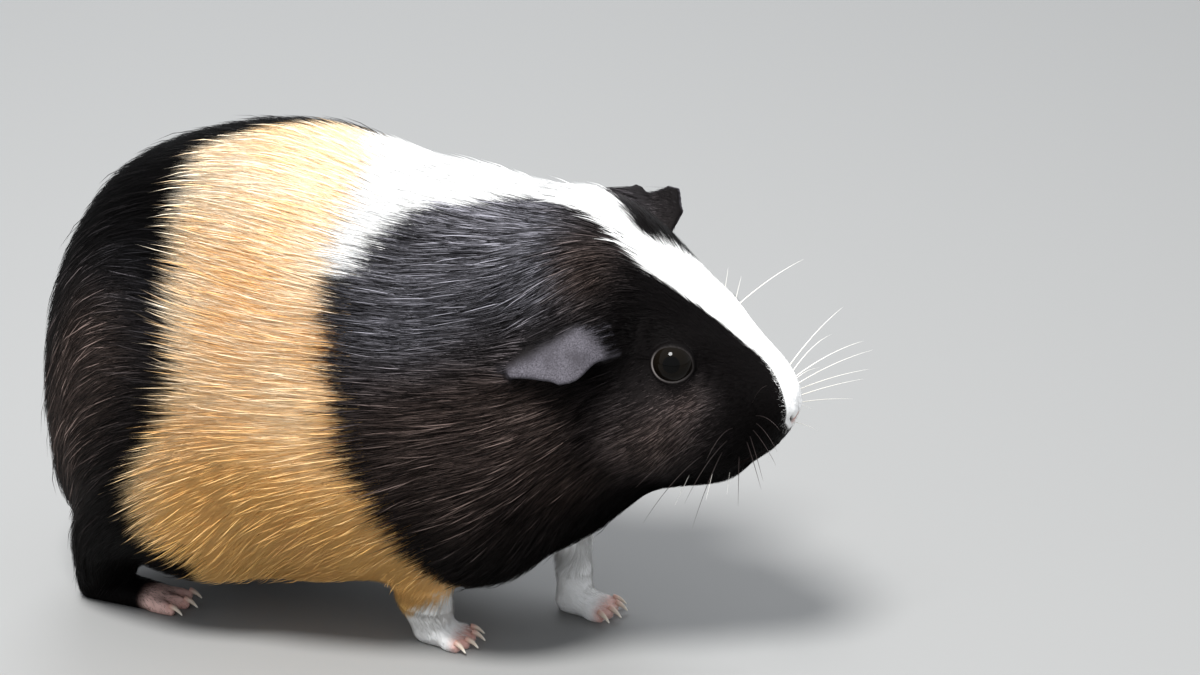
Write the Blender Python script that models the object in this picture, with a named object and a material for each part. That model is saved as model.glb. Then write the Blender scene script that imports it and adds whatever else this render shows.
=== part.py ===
"""A still, life-size guinea pig with a short smooth coat, walking with its rump high and its head low.

Run it with: blender --background --python part.py

Frame: +X towards the nose, +Y towards the animal's left, +Z up, with the floor at z = 0. Sizes are in
millimetres and become metres where a mesh is made. The body is modelled whole, out to the tips of the coat:
the trunk and the head are lofts, the muscles and the cheeks are balls, and the limbs are smaller lofts. They
are fused and smoothed, and then parted with cuts GAP wide into the nodes that a person would name.
"""

import math
from collections import namedtuple

import bmesh
import bpy
from mathutils import Matrix, Vector

MM = 0.001
RIGHT, LEFT = -1, 1
SIDES = {"right": RIGHT, "left": LEFT}
FORWARDS, UP, DOWN = (1, 0, 0), (0, 0, 1), (0, 0, -1)

# Driving dimensions, in millimetres.
GAP = 0.3
EYE_RADIUS = 5.7
EAR_RADIUS = 15.5
EAR_THICKNESS = 1.4
CLAW_LENGTH = 3.6
CLAW_RADIUS = 0.9
SOLE_SINK = 1.0  # how far the soles are modelled below the floor, before the floor cuts them flat

# How finely the body is fused, smoothed and thinned.
CORE_VOXEL, CORE_SMOOTHING = 2.2, 12
BODY_VOXEL, BODY_SMOOTHING = 0.85, 5
EVEN_TRIANGLES, BODY_TRIANGLES = 5400, 3500
BALL_SUBDIVISIONS = 3

# How finely a loft is made: the points of a ring, the rings for each span, and the rings of a rounded end.
Detail = namedtuple("Detail", "points steps cap_rings")
FINE = Detail(32, 4, 5)
COARSE = Detail(14, 2, 3)
LEAST = Detail(6, 1, 1)

# A loft passes through sections. Each has the centre of its ring, how wide the ring is to either side, and
# how far it reaches up (or forwards, on a limb that stands) and down (or back).
Section = namedtuple("Section", "x y z half_width rise drop")

# The trunk, from the rump to the nape. Its rings are widest below the middle, where the flanks bulge.
TRUNK = (
    Section(-103, 0, 71, 22, 35, 37),
    Section(-96, 0, 70, 33, 51.5, 50),
    Section(-84, 0, 68, 44.5, 62.5, 55),
    Section(-66, 0, 65, 52.5, 71.5, 55),
    Section(-42, 0, 62, 56, 76.5, 54),
    Section(-14, 0, 62, 56, 74, 52),
    Section(12, 0, 65, 51, 67, 49),
    Section(34, 0, 70, 45, 63, 46),
    Section(52, 0, 76, 37, 55, 38),
)
RUMP_ROUNDING, NAPE_ROUNDING = 6, 12
TRUNK_FULLNESS = 2.15

# The head, in its own frame: +X from the nape to the nose along the axis of the skull, +Z to the crown.
HEAD = (
    Section(-12, 0, 2, 31, 40, 36),
    Section(2, 0, 2, 31, 39.5, 38),
    Section(17, 0, 1, 29, 33, 38),
    Section(32, 0, 0, 25, 24.5, 35.5),
    Section(44, 0, -1, 19.5, 19, 28.5),
    Section(54, 0, -1, 15, 13.5, 22.5),
    Section(60, 0, -2, 10.5, 8, 14),
)
NAPE_OVERLAP, NOSE_ROUNDING = 10, 4
HEAD_FULLNESS = 2.1
HEAD_AT = (48, 0, 86)
HEAD_PITCH = 12  # degrees, nose down

# Balls that fill out the lofts: (x, |y|, z), then the radii along x, y and z. Each is made on both sides.
HAUNCH = ((-52, 30, 50), (42, 26.5, 38))
SHOULDER = ((26, 24, 55), (30, 24, 36))
CHEEK = ((22, 14, -11), (20, 17, 19))
BROW = ((27, 12.5, 13), (14, 11, 10))
LIP = ((50, 5, -9), (9, 8, 8.5))

# In the head's frame.
EYE_AT = (32, 20.5, 11)
EAR_AT = {"right": (4, 27, 18), "left": (1.5, 26, 22)}
EAR_LIFT = {"right": -41, "left": 42}  # degrees above the level: the right ear hangs, the left one is pricked
EAR_CURL = {"right": -3.5, "left": 2.5}  # how far the ends of the rim are bent up, or down where negative
EAR_TURN = {"right": -10, "left": 34}  # degrees that each is turned in its own plane, front end out
EAR_SWEEP = 8  # degrees that the ears lean back
EAR_SPREAD = 94  # degrees from straight out to either end of the rim
EAR_MIDDLE, EAR_ROOT_DEPTH, EAR_ROOT_HALF_WIDTH, EAR_ARCH = 4.5, 5, 8, 3.5
EAR_STEPS_ROUND, EAR_STEPS_OUT = 22, 4

# Lobes and notches of the rim: the share that each adds to the radius, or takes where it is negative; its
# place, in degrees from straight out (0) to the front (90); and its half width in degrees.
EAR_LOBES = {
    "right": ((0.29, -37, 11), (-0.3, -88, 26), (-0.08, -3, 5), (-0.27, 54, 24), (-0.12, 88, 20)),
    "left": ((0.08, -55, 28), (-0.22, 8, 26), (-0.26, 47, 11), (0.2, 66, 12)),
}

# Limbs: the sections of each, from inside the trunk down to the ankle, then of the foot, heel to toes.
# x is from the limb's own place, so that one leg can stride ahead of the other.
FORELEG = (
    Section(8, 32, 54, 17, 20, 18),
    Section(4, 32, 38, 13, 15, 14),
    Section(2, 28, 25, 9, 9.5, 9),
    Section(2, 25, 14, 6, 6.3, 6),
    Section(2, 22, 6, 5, 5.2, 5),
)
FOREFOOT = (
    Section(0, 22, 3.6, 4.4, 4.2, 4.6),
    Section(3.5, 22, 3.2, 5.2, 3.6, 4.2),
    Section(7, 22, 2.6, 5.4, 2.6, 3.6),
)
HINDLEG = (
    Section(14, 33, 50, 21, 27, 28),
    Section(9, 35, 32, 15, 19, 23),
    Section(-1, 31, 18, 10, 13, 13.5),
    Section(-5, 27, 8, 6.5, 9, 5),
)
HINDFOOT = (
    Section(-7, 26, 4, 4.6, 4.4, 5),
    Section(1, 26, 3.6, 5.6, 4.2, 4.6),
    Section(9, 26, 3, 6.2, 3.2, 4),
    Section(14, 26, 2.6, 6.4, 2.6, 3.6),
)
FORELEG_X = {"right": 11, "left": 42}
HINDLEG_X = {"right": -84, "left": -64}
FORELEG_SWING = {"right": 0, "left": -20}  # how far the top of the leg is ahead of the foot
HINDLEG_SWING = {"right": 15, "left": 0}
FORELEG_LEAN = {"right": 0, "left": -12}  # how much further from the midline the foot is set
ELBOW_FUR = {"right": 6, "left": -2}  # how much further back the fur reaches behind the forearm

# Toes: how far each one's root is from the middle of the foot, its length, and its splay in degrees.
FORE_TOES = ((-4.2, 4, -22), (-1.5, 5.5, -7), (1.5, 5.5, 7), (4.2, 4, 22))
HIND_TOES = ((-4.2, 7, -12), (0, 8.5, 0), (4.2, 7, 12))
TOE_RADIUS = 1.9

# Cuts. The territory of a limb is its loft grown all round, more so on the flank's side and past the toes,
# so that all of the limb's flesh is in it.
TERRITORY, FLANK_TERRITORY, FOOT_TERRITORY, TOE_TERRITORY = 3.5, 5, 6, 20
ANKLE_Z = {"fore": 11, "hind": 9.5}
HEAD_CUT, HEAD_CUT_LEAN = (52, 0, 84), 12
NECK_CUT, NECK_CUT_LEAN = (35, 0, 84), 15


def clear_scene():
    for obj in list(bpy.data.objects):
        bpy.data.objects.remove(obj)


def material(name, colour, roughness, metallic=0.0):
    made = bpy.data.materials.new(name)
    made.use_nodes = True
    shader = made.node_tree.nodes["Principled BSDF"]
    shader.inputs["Base Color"].default_value = (*colour, 1)
    shader.inputs["Roughness"].default_value = roughness
    shader.inputs["Metallic"].default_value = metallic
    return made


def object_from(bm, name):
    """An object in the scene with bm's faces, given in millimetres."""
    bmesh.ops.recalc_face_normals(bm, faces=bm.faces)
    bm.transform(Matrix.Scale(MM, 4))
    mesh = bpy.data.meshes.new(name)
    bm.to_mesh(mesh)
    bm.free()
    made = bpy.data.objects.new(name, mesh)
    bpy.context.scene.collection.objects.link(made)
    return made


def remove(*objects):
    for obj in objects:
        bpy.data.objects.remove(obj)


def evaluated(obj):
    """Applies obj's modifiers to it."""
    graph = bpy.context.evaluated_depsgraph_get()
    mesh = bpy.data.meshes.new_from_object(obj.evaluated_get(graph))
    obj.modifiers.clear()
    obj.data = mesh
    return obj


def copy_of(obj, name):
    made = bpy.data.objects.new(name, obj.data.copy())
    bpy.context.scene.collection.objects.link(made)
    return made


# Lofts and balls.


def eased(values, t):
    """The Catmull-Rom curve through four values, between the second and the third."""
    a, b, c, d = values
    return 0.5 * (2 * b + (c - a) * t + (2 * a - 5 * b + 4 * c - d) * t * t + (3 * b - a - 3 * c + d) * t**3)


def smooth_run(sections, steps):
    """The sections, with smooth steps put in between them."""
    padded = [sections[0], *sections, sections[-1]]
    run = []
    for i in range(len(sections) - 1):
        for step in range(steps):
            t = step / steps
            run.append(Section(*(eased(values, t) for values in zip(*padded[i : i + 4]))))
    run.append(sections[-1])
    return run


def grown(s, by):
    return s._replace(half_width=s.half_width + by, rise=s.rise + by, drop=s.drop + by)


def ring_of(bm, section, centre, along, up_hint, fullness, size, points):
    up_hint = Vector(up_hint)
    up = (up_hint - along * up_hint.dot(along)).normalized()
    side = up.cross(along)
    ring = []
    for i in range(points):
        angle = 2 * math.pi * i / points
        c, s = math.cos(angle), math.sin(angle)
        across = math.copysign(abs(c) ** (2 / fullness), c) * section.half_width
        height = math.copysign(abs(s) ** (2 / fullness), s) * (section.rise if s > 0 else section.drop)
        ring.append(bm.verts.new(centre + size * (side * across + up * height)))
    return ring


def loft(name, sections, up_hint, roundings, fullness=2.0, grow=0.0, detail=FINE, facing=None):
    """A closed body through the sections, with a rounded cap at each end, grown by `grow` all round.

    Each ring faces along the run, or all of them face one way where `facing` is given.
    """
    points = detail.points
    run = smooth_run([grown(s, grow) for s in sections], detail.steps)
    centres = [Vector((s.x, s.y, s.z)) for s in run]
    last = len(run) - 1
    bm = bmesh.new()
    rings = []
    for i, section in enumerate(run):
        run_on = centres[min(i + 1, last)] - centres[max(i - 1, 0)]
        along = Vector(facing) if facing else run_on.normalized()
        caps = [(centres[i], 1.0)]
        if i in (0, last):
            reach = (roundings[0] if i == 0 else roundings[1]) + grow
            outwards = -along if i == 0 else along
            turns = [math.pi / 2 * n / detail.cap_rings for n in range(detail.cap_rings)]
            caps = [(centres[i] + outwards * reach * math.sin(a), math.cos(a)) for a in turns]
            pole = bm.verts.new(centres[i] + outwards * reach)
            if i == 0:
                caps.reverse()
                first_pole = pole
            else:
                last_pole = pole
        for centre, size in caps:
            rings.append(ring_of(bm, section, centre, along, up_hint, fullness, size, points))
    for a, b in zip(rings, rings[1:]):
        for i in range(points):
            j = (i + 1) % points
            bm.faces.new((a[i], a[j], b[j], b[i]))
    for pole, ring in ((first_pole, rings[0]), (last_pole, rings[-1])):
        for i in range(points):
            bm.faces.new((pole, ring[i], ring[(i + 1) % points]))
    return object_from(bm, name)


def ball(name, centre, radii, place=None):
    """An ellipsoid in millimetres, in the frame of the matrix `place`."""
    bm = bmesh.new()
    bmesh.ops.create_icosphere(bm, subdivisions=BALL_SUBDIVISIONS, radius=1)
    bm.transform((place or Matrix()) @ Matrix.Translation(centre) @ Matrix.Diagonal((*radii, 1)))
    return object_from(bm, name)


def in_pair(name, centre_and_radii, place=None):
    (x, y, z), radii = centre_and_radii
    return [ball(f"{name}_{word}", (x, side * y, z), radii, place) for word, side in SIDES.items()]


def placed(obj, place):
    """Moves obj's mesh by a matrix given in millimetres."""
    at, turn, _ = place.decompose()
    obj.data.transform(Matrix.LocRotScale(at * MM, turn, None))
    return obj


def head_place():
    return Matrix.Translation(HEAD_AT) @ Matrix.Rotation(math.radians(HEAD_PITCH), 4, "Y")


# Fusing and cutting.


def joined(name, objects):
    """One object with all their faces, overlapping as they are."""
    bm = bmesh.new()
    for obj in objects:
        bm.from_mesh(obj.data)
    remove(*objects)
    bm.transform(Matrix.Scale(1 / MM, 4))
    return object_from(bm, name)


def fused(name, objects, voxel, smoothing):
    """One closed skin round the objects, with the creases between them smoothed away."""
    made = joined(name, objects)
    remesh = made.modifiers.new("Fuse", "REMESH")
    remesh.mode = "VOXEL"
    remesh.voxel_size = voxel * MM
    smooth = made.modifiers.new("Smooth", "SMOOTH")
    smooth.factor = 0.5
    smooth.iterations = smoothing
    return evaluated(made)


def collapsed(obj, triangles, chosen=None):
    """obj with about so many triangles, all of them saved among the chosen points where some are given."""
    decimate = obj.modifiers.new("Thin", "DECIMATE")
    if chosen is not None:
        group = obj.vertex_groups.new(name="chosen")
        group.add(chosen, 1.0, "REPLACE")
        decimate.vertex_group = group.name
    faces = sum(len(p.vertices) - 2 for p in obj.data.polygons)
    decimate.ratio = triangles / faces
    evaluated(obj)
    obj.vertex_groups.clear()
    return obj


def thinned(obj):
    """obj with few triangles: first evenly, and then once more on the trunk, which needs the least."""
    collapsed(obj, EVEN_TRIANGLES)
    head, feet = HEAD_CUT[0] * MM, ANKLE_Z["hind"] * MM
    on_trunk = [v.index for v in obj.data.vertices if v.co.x < head and v.co.z > feet]
    return collapsed(obj, BODY_TRIANGLES, on_trunk)


def split_by_plane(obj, at, normal, name_behind):
    """Cuts obj at a plane. obj keeps the side that the normal points to, and a new object gets the other."""
    behind = copy_of(obj, name_behind)
    for part, side in ((obj, 1), (behind, -1)):
        bm = bmesh.new()
        bm.from_mesh(part.data)
        everything = bm.verts[:] + bm.edges[:] + bm.faces[:]
        point = (Vector(at) + Vector(normal) * side * GAP / 2) * MM
        cut = bmesh.ops.bisect_plane(
            bm,
            geom=everything,
            plane_co=point,
            plane_no=Vector(normal) * side,
            clear_inner=True,
        )
        rim = [e for e in cut["geom_cut"] if isinstance(e, bmesh.types.BMEdge)]
        bmesh.ops.holes_fill(bm, edges=rim, sides=0)
        bmesh.ops.triangulate(bm, faces=[f for f in bm.faces if len(f.verts) > 4])
        bmesh.ops.recalc_face_normals(bm, faces=bm.faces)
        bm.to_mesh(part.data)
        bm.free()
    return behind


def leaning(degrees):
    """The normal of an upright plane across the body, once its foot is swung forwards."""
    lean = math.radians(degrees)
    return math.cos(lean), 0, math.sin(lean)


def boolean(obj, other, operation):
    cut = obj.modifiers.new(operation.title(), "BOOLEAN")
    cut.operation = operation
    cut.solver = "EXACT"
    cut.object = other
    return evaluated(obj)


def swollen(obj, by):
    """A copy of obj, pushed out along its normals."""
    made = copy_of(obj, obj.name + "_swollen")
    push = made.modifiers.new("Swell", "DISPLACE")
    push.mid_level = 0
    push.strength = by * MM
    return evaluated(made)


def part_off(body, name, cutter, wider_cutter):
    """Takes what lies inside the cutter out of the body, as a new object, with a gap up to the wider one."""
    part = copy_of(body, name)
    boolean(part, cutter, "INTERSECT")
    boolean(body, wider_cutter, "DIFFERENCE")
    remove(cutter, wider_cutter)
    return part


# The limbs.


def limb(kind, word):
    """The sections of a limb's leg and of its foot, in their own places."""
    side = SIDES[word]
    leg, foot, x, swing, lean, fur = (
        (FORELEG, FOREFOOT, FORELEG_X[word], FORELEG_SWING[word], FORELEG_LEAN[word], ELBOW_FUR[word])
        if kind == "fore"
        else (HINDLEG, HINDFOOT, HINDLEG_X[word], HINDLEG_SWING[word], 0, 0)
    )
    top = leg[0].z
    leg = [s._replace(drop=s.drop + fur * 4 * s.z / top * (1 - s.z / top)) for s in leg]

    def set_out(s):
        high = s.z / top
        return s._replace(x=s.x + x + swing * high, y=side * (s.y + lean * (1 - high)))

    return [set_out(s) for s in leg], [set_out(s) for s in foot]


def limb_lofts(kind, word):
    """The leg and the foot of one limb."""
    leg, foot = limb(kind, word)
    return [
        loft(f"{kind}leg_{word}_flesh", leg, FORWARDS, (8, 3), facing=DOWN),
        loft(f"{kind}foot_{word}_flesh", foot, UP, (4, 3)),
    ]


def territory(kind, word, grow=0.0):
    """The space whose flesh belongs to one limb, grown by `grow` all round."""
    leg, foot = limb(kind, word)
    out = SIDES[word] * FLANK_TERRITORY
    leg = [s._replace(y=s.y + out, half_width=s.half_width + FLANK_TERRITORY) for s in leg]
    whole = loft("leg_territory", leg, FORWARDS, (8, 3), grow=TERRITORY + grow, detail=COARSE, facing=DOWN)
    below = loft("foot_territory", foot, UP, (4, TOE_TERRITORY), grow=FOOT_TERRITORY + grow, detail=COARSE)
    boolean(whole, below, "UNION")
    remove(below)
    return whole


def toe_roots(kind, word):
    """Where each toe of a foot leaves it: its place, its direction and its length."""
    _, foot = limb(kind, word)
    for offset, length, splay in FORE_TOES if kind == "fore" else HIND_TOES:
        angle = math.radians(splay)
        root = Vector((foot[-1].x, foot[-1].y + offset, TOE_RADIUS))
        yield root, Vector((math.cos(angle), math.sin(angle), 0)), length


def toes_of(kind, word):
    made = []
    for n, (root, along, length) in enumerate(toe_roots(kind, word)):
        knuckle, tip = root + along * length * 0.5, root + along * length
        sections = (
            Section(*root, TOE_RADIUS, TOE_RADIUS, TOE_RADIUS + SOLE_SINK),
            Section(*knuckle, TOE_RADIUS, TOE_RADIUS * 1.1, TOE_RADIUS + SOLE_SINK),
            Section(*tip, TOE_RADIUS * 0.8, TOE_RADIUS * 0.8, TOE_RADIUS + SOLE_SINK),
        )
        made.append(loft(f"{kind}toe_{word}_{n}", sections, UP, (1, 1.5)))
    return made


def claws_of(kind, word, flesh):
    """The claws of a foot: short horns that bend down, seated on the toes."""
    made = []
    for n, (root, along, length) in enumerate(toe_roots(kind, word), start=1):
        base = root + along * (length - 0.5) + Vector((0, 0, 0.6))
        middle = base + along * CLAW_LENGTH * 0.55
        tip = base + along * CLAW_LENGTH * 1.05 + Vector((0, 0, -1.3))
        sizes = (CLAW_RADIUS, CLAW_RADIUS * 0.8, CLAW_RADIUS * 0.35)
        sections = [Section(*at, r, r, r) for at, r in zip((base, middle, tip), sizes)]
        claw = loft(f"claw_{kind}_{word}_{n}", sections, UP, (0.5, 0.4), detail=LEAST)
        made.append(boolean(claw, flesh, "DIFFERENCE"))
    return made


# The ears.


def ear_rim(word, degrees):
    """How far the rim is from the ear's middle, in a direction from straight out (0) to the front (90)."""
    share = 1
    for height, place, width in EAR_LOBES[word]:
        share += height * math.exp(-(((degrees - place) / width) ** 2))
    return EAR_RADIUS * share


def ear(word, flesh):
    """A fan from its root in the head to a wavy rim, bent along its length, which Solidify makes thick."""
    side = SIDES[word]
    bm = bmesh.new()
    rows = []
    for j in range(EAR_STEPS_OUT + 1):
        v = j / EAR_STEPS_OUT
        row = []
        for i in range(EAR_STEPS_ROUND + 1):
            u = 2 * i / EAR_STEPS_ROUND - 1
            degrees = EAR_SPREAD * u
            way = Vector((math.sin(math.radians(degrees)), math.cos(math.radians(degrees))))
            rim = way * ear_rim(word, degrees) + Vector((0, EAR_MIDDLE))
            root = Vector((EAR_ROOT_HALF_WIDTH * u, -EAR_ROOT_DEPTH))
            forwards, outwards = root.lerp(rim, v)
            bend = EAR_CURL[word] * u * u * v - EAR_ARCH * v * v
            row.append(bm.verts.new((forwards, side * outwards, bend)))
        rows.append(row)
    for a, b in zip(rows, rows[1:]):
        for i in range(EAR_STEPS_ROUND):
            bm.faces.new((a[i], a[i + 1], b[i + 1], b[i]))
    x, y, z = EAR_AT[word]
    turn = Matrix.Rotation(math.radians(side * EAR_TURN[word]), 4, "Z")
    lift = Matrix.Rotation(math.radians(side * EAR_LIFT[word]), 4, "X")
    sweep = Matrix.Rotation(math.radians(side * EAR_SWEEP), 4, "Z")
    bm.transform(head_place() @ Matrix.Translation((x, side * y, z)) @ sweep @ lift @ turn)
    made = object_from(bm, f"ear_{word}")
    thicken = made.modifiers.new("Thicken", "SOLIDIFY")
    thicken.thickness = EAR_THICKNESS * MM
    thicken.offset = 0
    evaluated(made)
    return boolean(made, flesh, "DIFFERENCE")


# The whole animal.


def flesh():
    """The body without its eyes, ears and claws, in one piece, standing on flat soles."""
    head = placed(loft("skull", HEAD, UP, (NAPE_OVERLAP, NOSE_ROUNDING), HEAD_FULLNESS), head_place())
    trunk = loft("barrel", TRUNK, UP, (RUMP_ROUNDING, NAPE_ROUNDING), TRUNK_FULLNESS)
    core = [head, trunk]
    core += in_pair("haunch", HAUNCH) + in_pair("shoulder", SHOULDER)
    core += in_pair("cheek", CHEEK, head_place()) + in_pair("brow", BROW, head_place())
    core += in_pair("lip", LIP, head_place())
    whole = [fused("core", core, CORE_VOXEL, CORE_SMOOTHING)]
    for kind in ("fore", "hind"):
        for word in SIDES:
            whole += limb_lofts(kind, word) + toes_of(kind, word)
    body = thinned(fused("body", whole, BODY_VOXEL, BODY_SMOOTHING))
    remove(split_by_plane(body, (0, 0, -GAP / 2), UP, "below_floor"))
    return body


def main():
    clear_scene()
    coat_black = material("coat_black", (0.020, 0.016, 0.016), 0.6)
    coat_tan = material("coat_tan", (0.62, 0.33, 0.12), 0.7)
    coat_white = material("coat_white", (0.85, 0.83, 0.80), 0.7)
    ear_skin = material("ear_skin", (0.085, 0.075, 0.085), 0.6)
    eye_black = material("eye_black", (0.008, 0.006, 0.006), 0.08)
    foot_skin = material("foot_skin", (0.62, 0.36, 0.33), 0.55)
    claw_horn = material("claw_horn", (0.62, 0.52, 0.42), 0.4)

    body = flesh()
    seat = swollen(body, GAP)
    ears = [ear(word, seat) for word in SIDES]
    claws = [claw for kind in ("fore", "hind") for word in SIDES for claw in claws_of(kind, word, seat)]
    remove(seat)

    eyes = []
    for word, side in SIDES.items():
        x, y, z = EYE_AT
        socket = ball("socket", (x, side * y, z), (EYE_RADIUS + GAP,) * 3, head_place())
        boolean(body, socket, "DIFFERENCE")
        remove(socket)
        eyes.append(ball(f"eye_{word}", (x, side * y, z), (EYE_RADIUS,) * 3, head_place()))

    body.name = "head"
    neck = split_by_plane(body, HEAD_CUT, leaning(HEAD_CUT_LEAN), "neck")
    trunk = split_by_plane(neck, NECK_CUT, leaning(NECK_CUT_LEAN), "trunk")

    finishes = {body: coat_black, neck: coat_black, trunk: coat_tan}
    coats = {"foreleg_right": coat_tan, "foreleg_left": coat_white}
    for kind, foot_finish in (("fore", coat_white), ("hind", foot_skin)):
        for word in SIDES:
            name = f"{kind}leg_{word}"
            leg = part_off(trunk, name, territory(kind, word), territory(kind, word, GAP))
            foot = split_by_plane(leg, (0, 0, ANKLE_Z[kind]), UP, f"{kind}foot_{word}")
            finishes[leg] = coats.get(name, coat_black)
            finishes[foot] = foot_finish
    finishes.update(dict.fromkeys(ears, ear_skin))
    finishes.update(dict.fromkeys(eyes, eye_black))
    finishes.update(dict.fromkeys(claws, claw_horn))
    for obj, finish in finishes.items():
        obj.data.materials.clear()
        obj.data.materials.append(finish)


main()
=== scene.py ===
# %% [markdown]
# A guinea pig on its feet, as a life-size model. The solids give its size and stance. This
# script dresses them: one closed skin, a coat of thin tufts that follows the lie of the
# hair, eyes, claws and whiskers.

# %% The frame
import math

import bmesh
import bpy
import numpy as np
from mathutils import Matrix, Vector
from mathutils.bvhtree import BVHTree


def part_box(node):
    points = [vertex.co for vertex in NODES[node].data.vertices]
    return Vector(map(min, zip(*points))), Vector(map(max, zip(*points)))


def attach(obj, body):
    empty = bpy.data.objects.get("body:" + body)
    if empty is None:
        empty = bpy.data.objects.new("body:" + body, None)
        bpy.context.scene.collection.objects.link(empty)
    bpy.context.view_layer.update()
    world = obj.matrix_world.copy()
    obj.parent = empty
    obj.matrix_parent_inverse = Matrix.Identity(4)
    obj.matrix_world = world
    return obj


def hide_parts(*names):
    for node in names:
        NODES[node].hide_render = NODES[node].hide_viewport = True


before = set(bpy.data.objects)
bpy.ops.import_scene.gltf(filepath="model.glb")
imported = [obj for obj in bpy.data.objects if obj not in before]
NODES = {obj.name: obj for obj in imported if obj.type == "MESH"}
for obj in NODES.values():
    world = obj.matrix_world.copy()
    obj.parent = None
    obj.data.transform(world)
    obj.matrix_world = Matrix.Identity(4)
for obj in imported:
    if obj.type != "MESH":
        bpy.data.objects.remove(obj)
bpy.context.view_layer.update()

MM = 0.001
CLAWS = sorted(name for name in NODES if name.startswith("claw_"))
EYES = ["eye_left", "eye_right"]
FLESH = sorted(set(NODES) - set(CLAWS) - set(EYES))
print(f"{len(FLESH)} nodes of flesh, {len(CLAWS)} claws, {len(EYES)} eyes")

# %% [markdown]
# Each finished mesh goes into an object of its own. Modifiers are only tools here: the
# result is read as a plain mesh and the object that carried them is removed.

# %% Objects and meshes
SAME_PLACE = 1e-6  # points closer than this are one


def new_object(name, mesh):
    made = bpy.data.objects.new(name, mesh)
    bpy.context.scene.collection.objects.link(made)
    return made


def baked(obj):
    """The mesh of an object with its modifiers applied, and the object gone."""
    graph = bpy.context.evaluated_depsgraph_get()
    mesh = bpy.data.meshes.new_from_object(obj.evaluated_get(graph))
    name = obj.name
    bpy.data.objects.remove(obj)
    mesh.name = name
    return mesh


def mesh_of(work, name):
    """A mesh of what a bmesh holds. The bmesh is freed."""
    mesh = bpy.data.meshes.new(name)
    work.to_mesh(mesh)
    work.free()
    return mesh


def merged_copy(name):
    """A copy of a solid with its loose triangles merged."""
    work = bmesh.new()
    work.from_mesh(NODES[name].data)
    bmesh.ops.remove_doubles(work, verts=work.verts, dist=SAME_PLACE)
    return mesh_of(work, name + "_copy")


print("helpers ready")

# %% [markdown]
# The skin. On the animal it is one sheet from nose to toes, so the parted solids are
# welded into one. Booleans would keep every gap, and joining by hand would take long. A
# voxel remesh does it in one step: each solid is swollen until the thin gaps close, and
# one even net is laid over all of them.

# %% One net over all the flesh
SWELL = 0.25 * MM
VOXEL = 0.62 * MM


def swollen(name):
    copy = new_object(name + "_swollen", merged_copy(name))
    swell = copy.modifiers.new("swell", "DISPLACE")
    swell.strength = SWELL
    swell.mid_level = 0
    return copy


def welded(names):
    work = bmesh.new()
    for name in names:
        mesh = baked(swollen(name))
        work.from_mesh(mesh)
        bpy.data.meshes.remove(mesh)
    obj = new_object("skin", mesh_of(work, "skin"))
    net = obj.modifiers.new("net", "REMESH")
    net.mode = "VOXEL"
    net.voxel_size = VOXEL
    return baked(obj)


skin_mesh = welded(FLESH + EYES)
print(f"net: {len(skin_mesh.vertices)} points")

# %% [markdown]
# What follows works on all points of the net at once, as arrays. These helpers carry
# points, edges, triangles and normals between a mesh and an array.

# %% Points as arrays
def read(items, key, width, kind=np.float32):
    flat = np.empty(len(items) * width, kind)
    items.foreach_get(key, flat)
    return flat.reshape(-1, width)


def points_of(mesh):
    return read(mesh.vertices, "co", 3).astype(float)


def put_points(mesh, points):
    mesh.vertices.foreach_set("co", points.astype(np.float32).ravel())
    mesh.update()


def ends_of(mesh):
    """The two points that each edge joins."""
    return read(mesh.edges, "vertices", 2, np.int32)


def faces_of(mesh):
    """The three points of each triangle."""
    return read(mesh.polygons, "vertices", 3, np.int32)


def normals_of(mesh):
    return read(mesh.vertex_normals, "vector", 3).astype(float)


net = points_of(skin_mesh)
ends = ends_of(skin_mesh)
print(f"{len(net)} points, {len(ends)} edges")

# %% [markdown]
# Most of what follows says "more here, less there". Four helpers say it: a soft step from
# 0 to 1, a reading from a short table, a spot that fades out round a place, and the same
# places on the other side.

# %% Steps, sides and spots
def unit(vectors):
    return vectors / np.maximum(np.linalg.norm(vectors, axis=1), 1e-9)[:, None]


def ramp(value, start, end):
    """0 before start, 1 after end, eased between."""
    share = np.clip((value - start) / (end - start), 0, 1)
    return share * share * (3 - 2 * share)


def reading(table, at):
    """A value between the entries of a short table."""
    places, values = np.array(table, float).T
    return np.interp(at, places, values)


def spot(points, place, reach):
    """1 at a place, fading over a reach, both in mm."""
    return np.exp(-(np.linalg.norm(points - np.array(place) * MM, axis=1) / (reach * MM)) ** 2)


def on_side(side, places):
    """Places on the left side, kept there by 1 and mirrored to the right by -1."""
    return [(x, side * y, z) for x, y, z in places]


print("steps, sides and spots ready")

# %% [markdown]
# The net no longer knows which point came from an ear or a foot. The distance to the solids
# tells it: each point gets a share that is 1 on the named solids and fades out round them.

# %% How near a part lies
FEET = [name for name in FLESH if "foot" in name]
EARS = [name for name in FLESH if name.startswith("ear_")]
LEGS = [name for name in FLESH if "leg" in name]


def tree_of(mesh):
    """Finds the nearest place on a mesh of triangles."""
    return BVHTree.FromPolygons([vert.co for vert in mesh.vertices], faces_of(mesh).tolist())


def in_box(points, name, reach):
    """Which points lie in the box of a solid, or not further than a reach from it."""
    low, high = (np.array(corner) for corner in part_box(name))
    return ((points > low - reach) & (points < high + reach)).all(1)


def nearness(points, names, full, reach):
    """1 up to `full` from the named solids, falling to 0 at `reach` from them."""
    found = np.zeros(len(points))
    for name in names:
        tree = tree_of(NODES[name].data)
        for i in np.where(in_box(points, name, reach))[0]:
            gap = tree.find_nearest(Vector(points[i]))[3]
            share = min(1.0, max(0.0, (reach - gap) / (reach - full)))
            found[i] = max(found[i], share)
    return found


ear_share = nearness(net, EARS, 0.8 * MM, 3 * MM)
foot_share = nearness(net, FEET, 0.6 * MM, 2.5 * MM)
print(f"{int((ear_share > 0.5).sum())} points by the ears, {int((foot_share > 0.5).sum())} by the feet")

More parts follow.
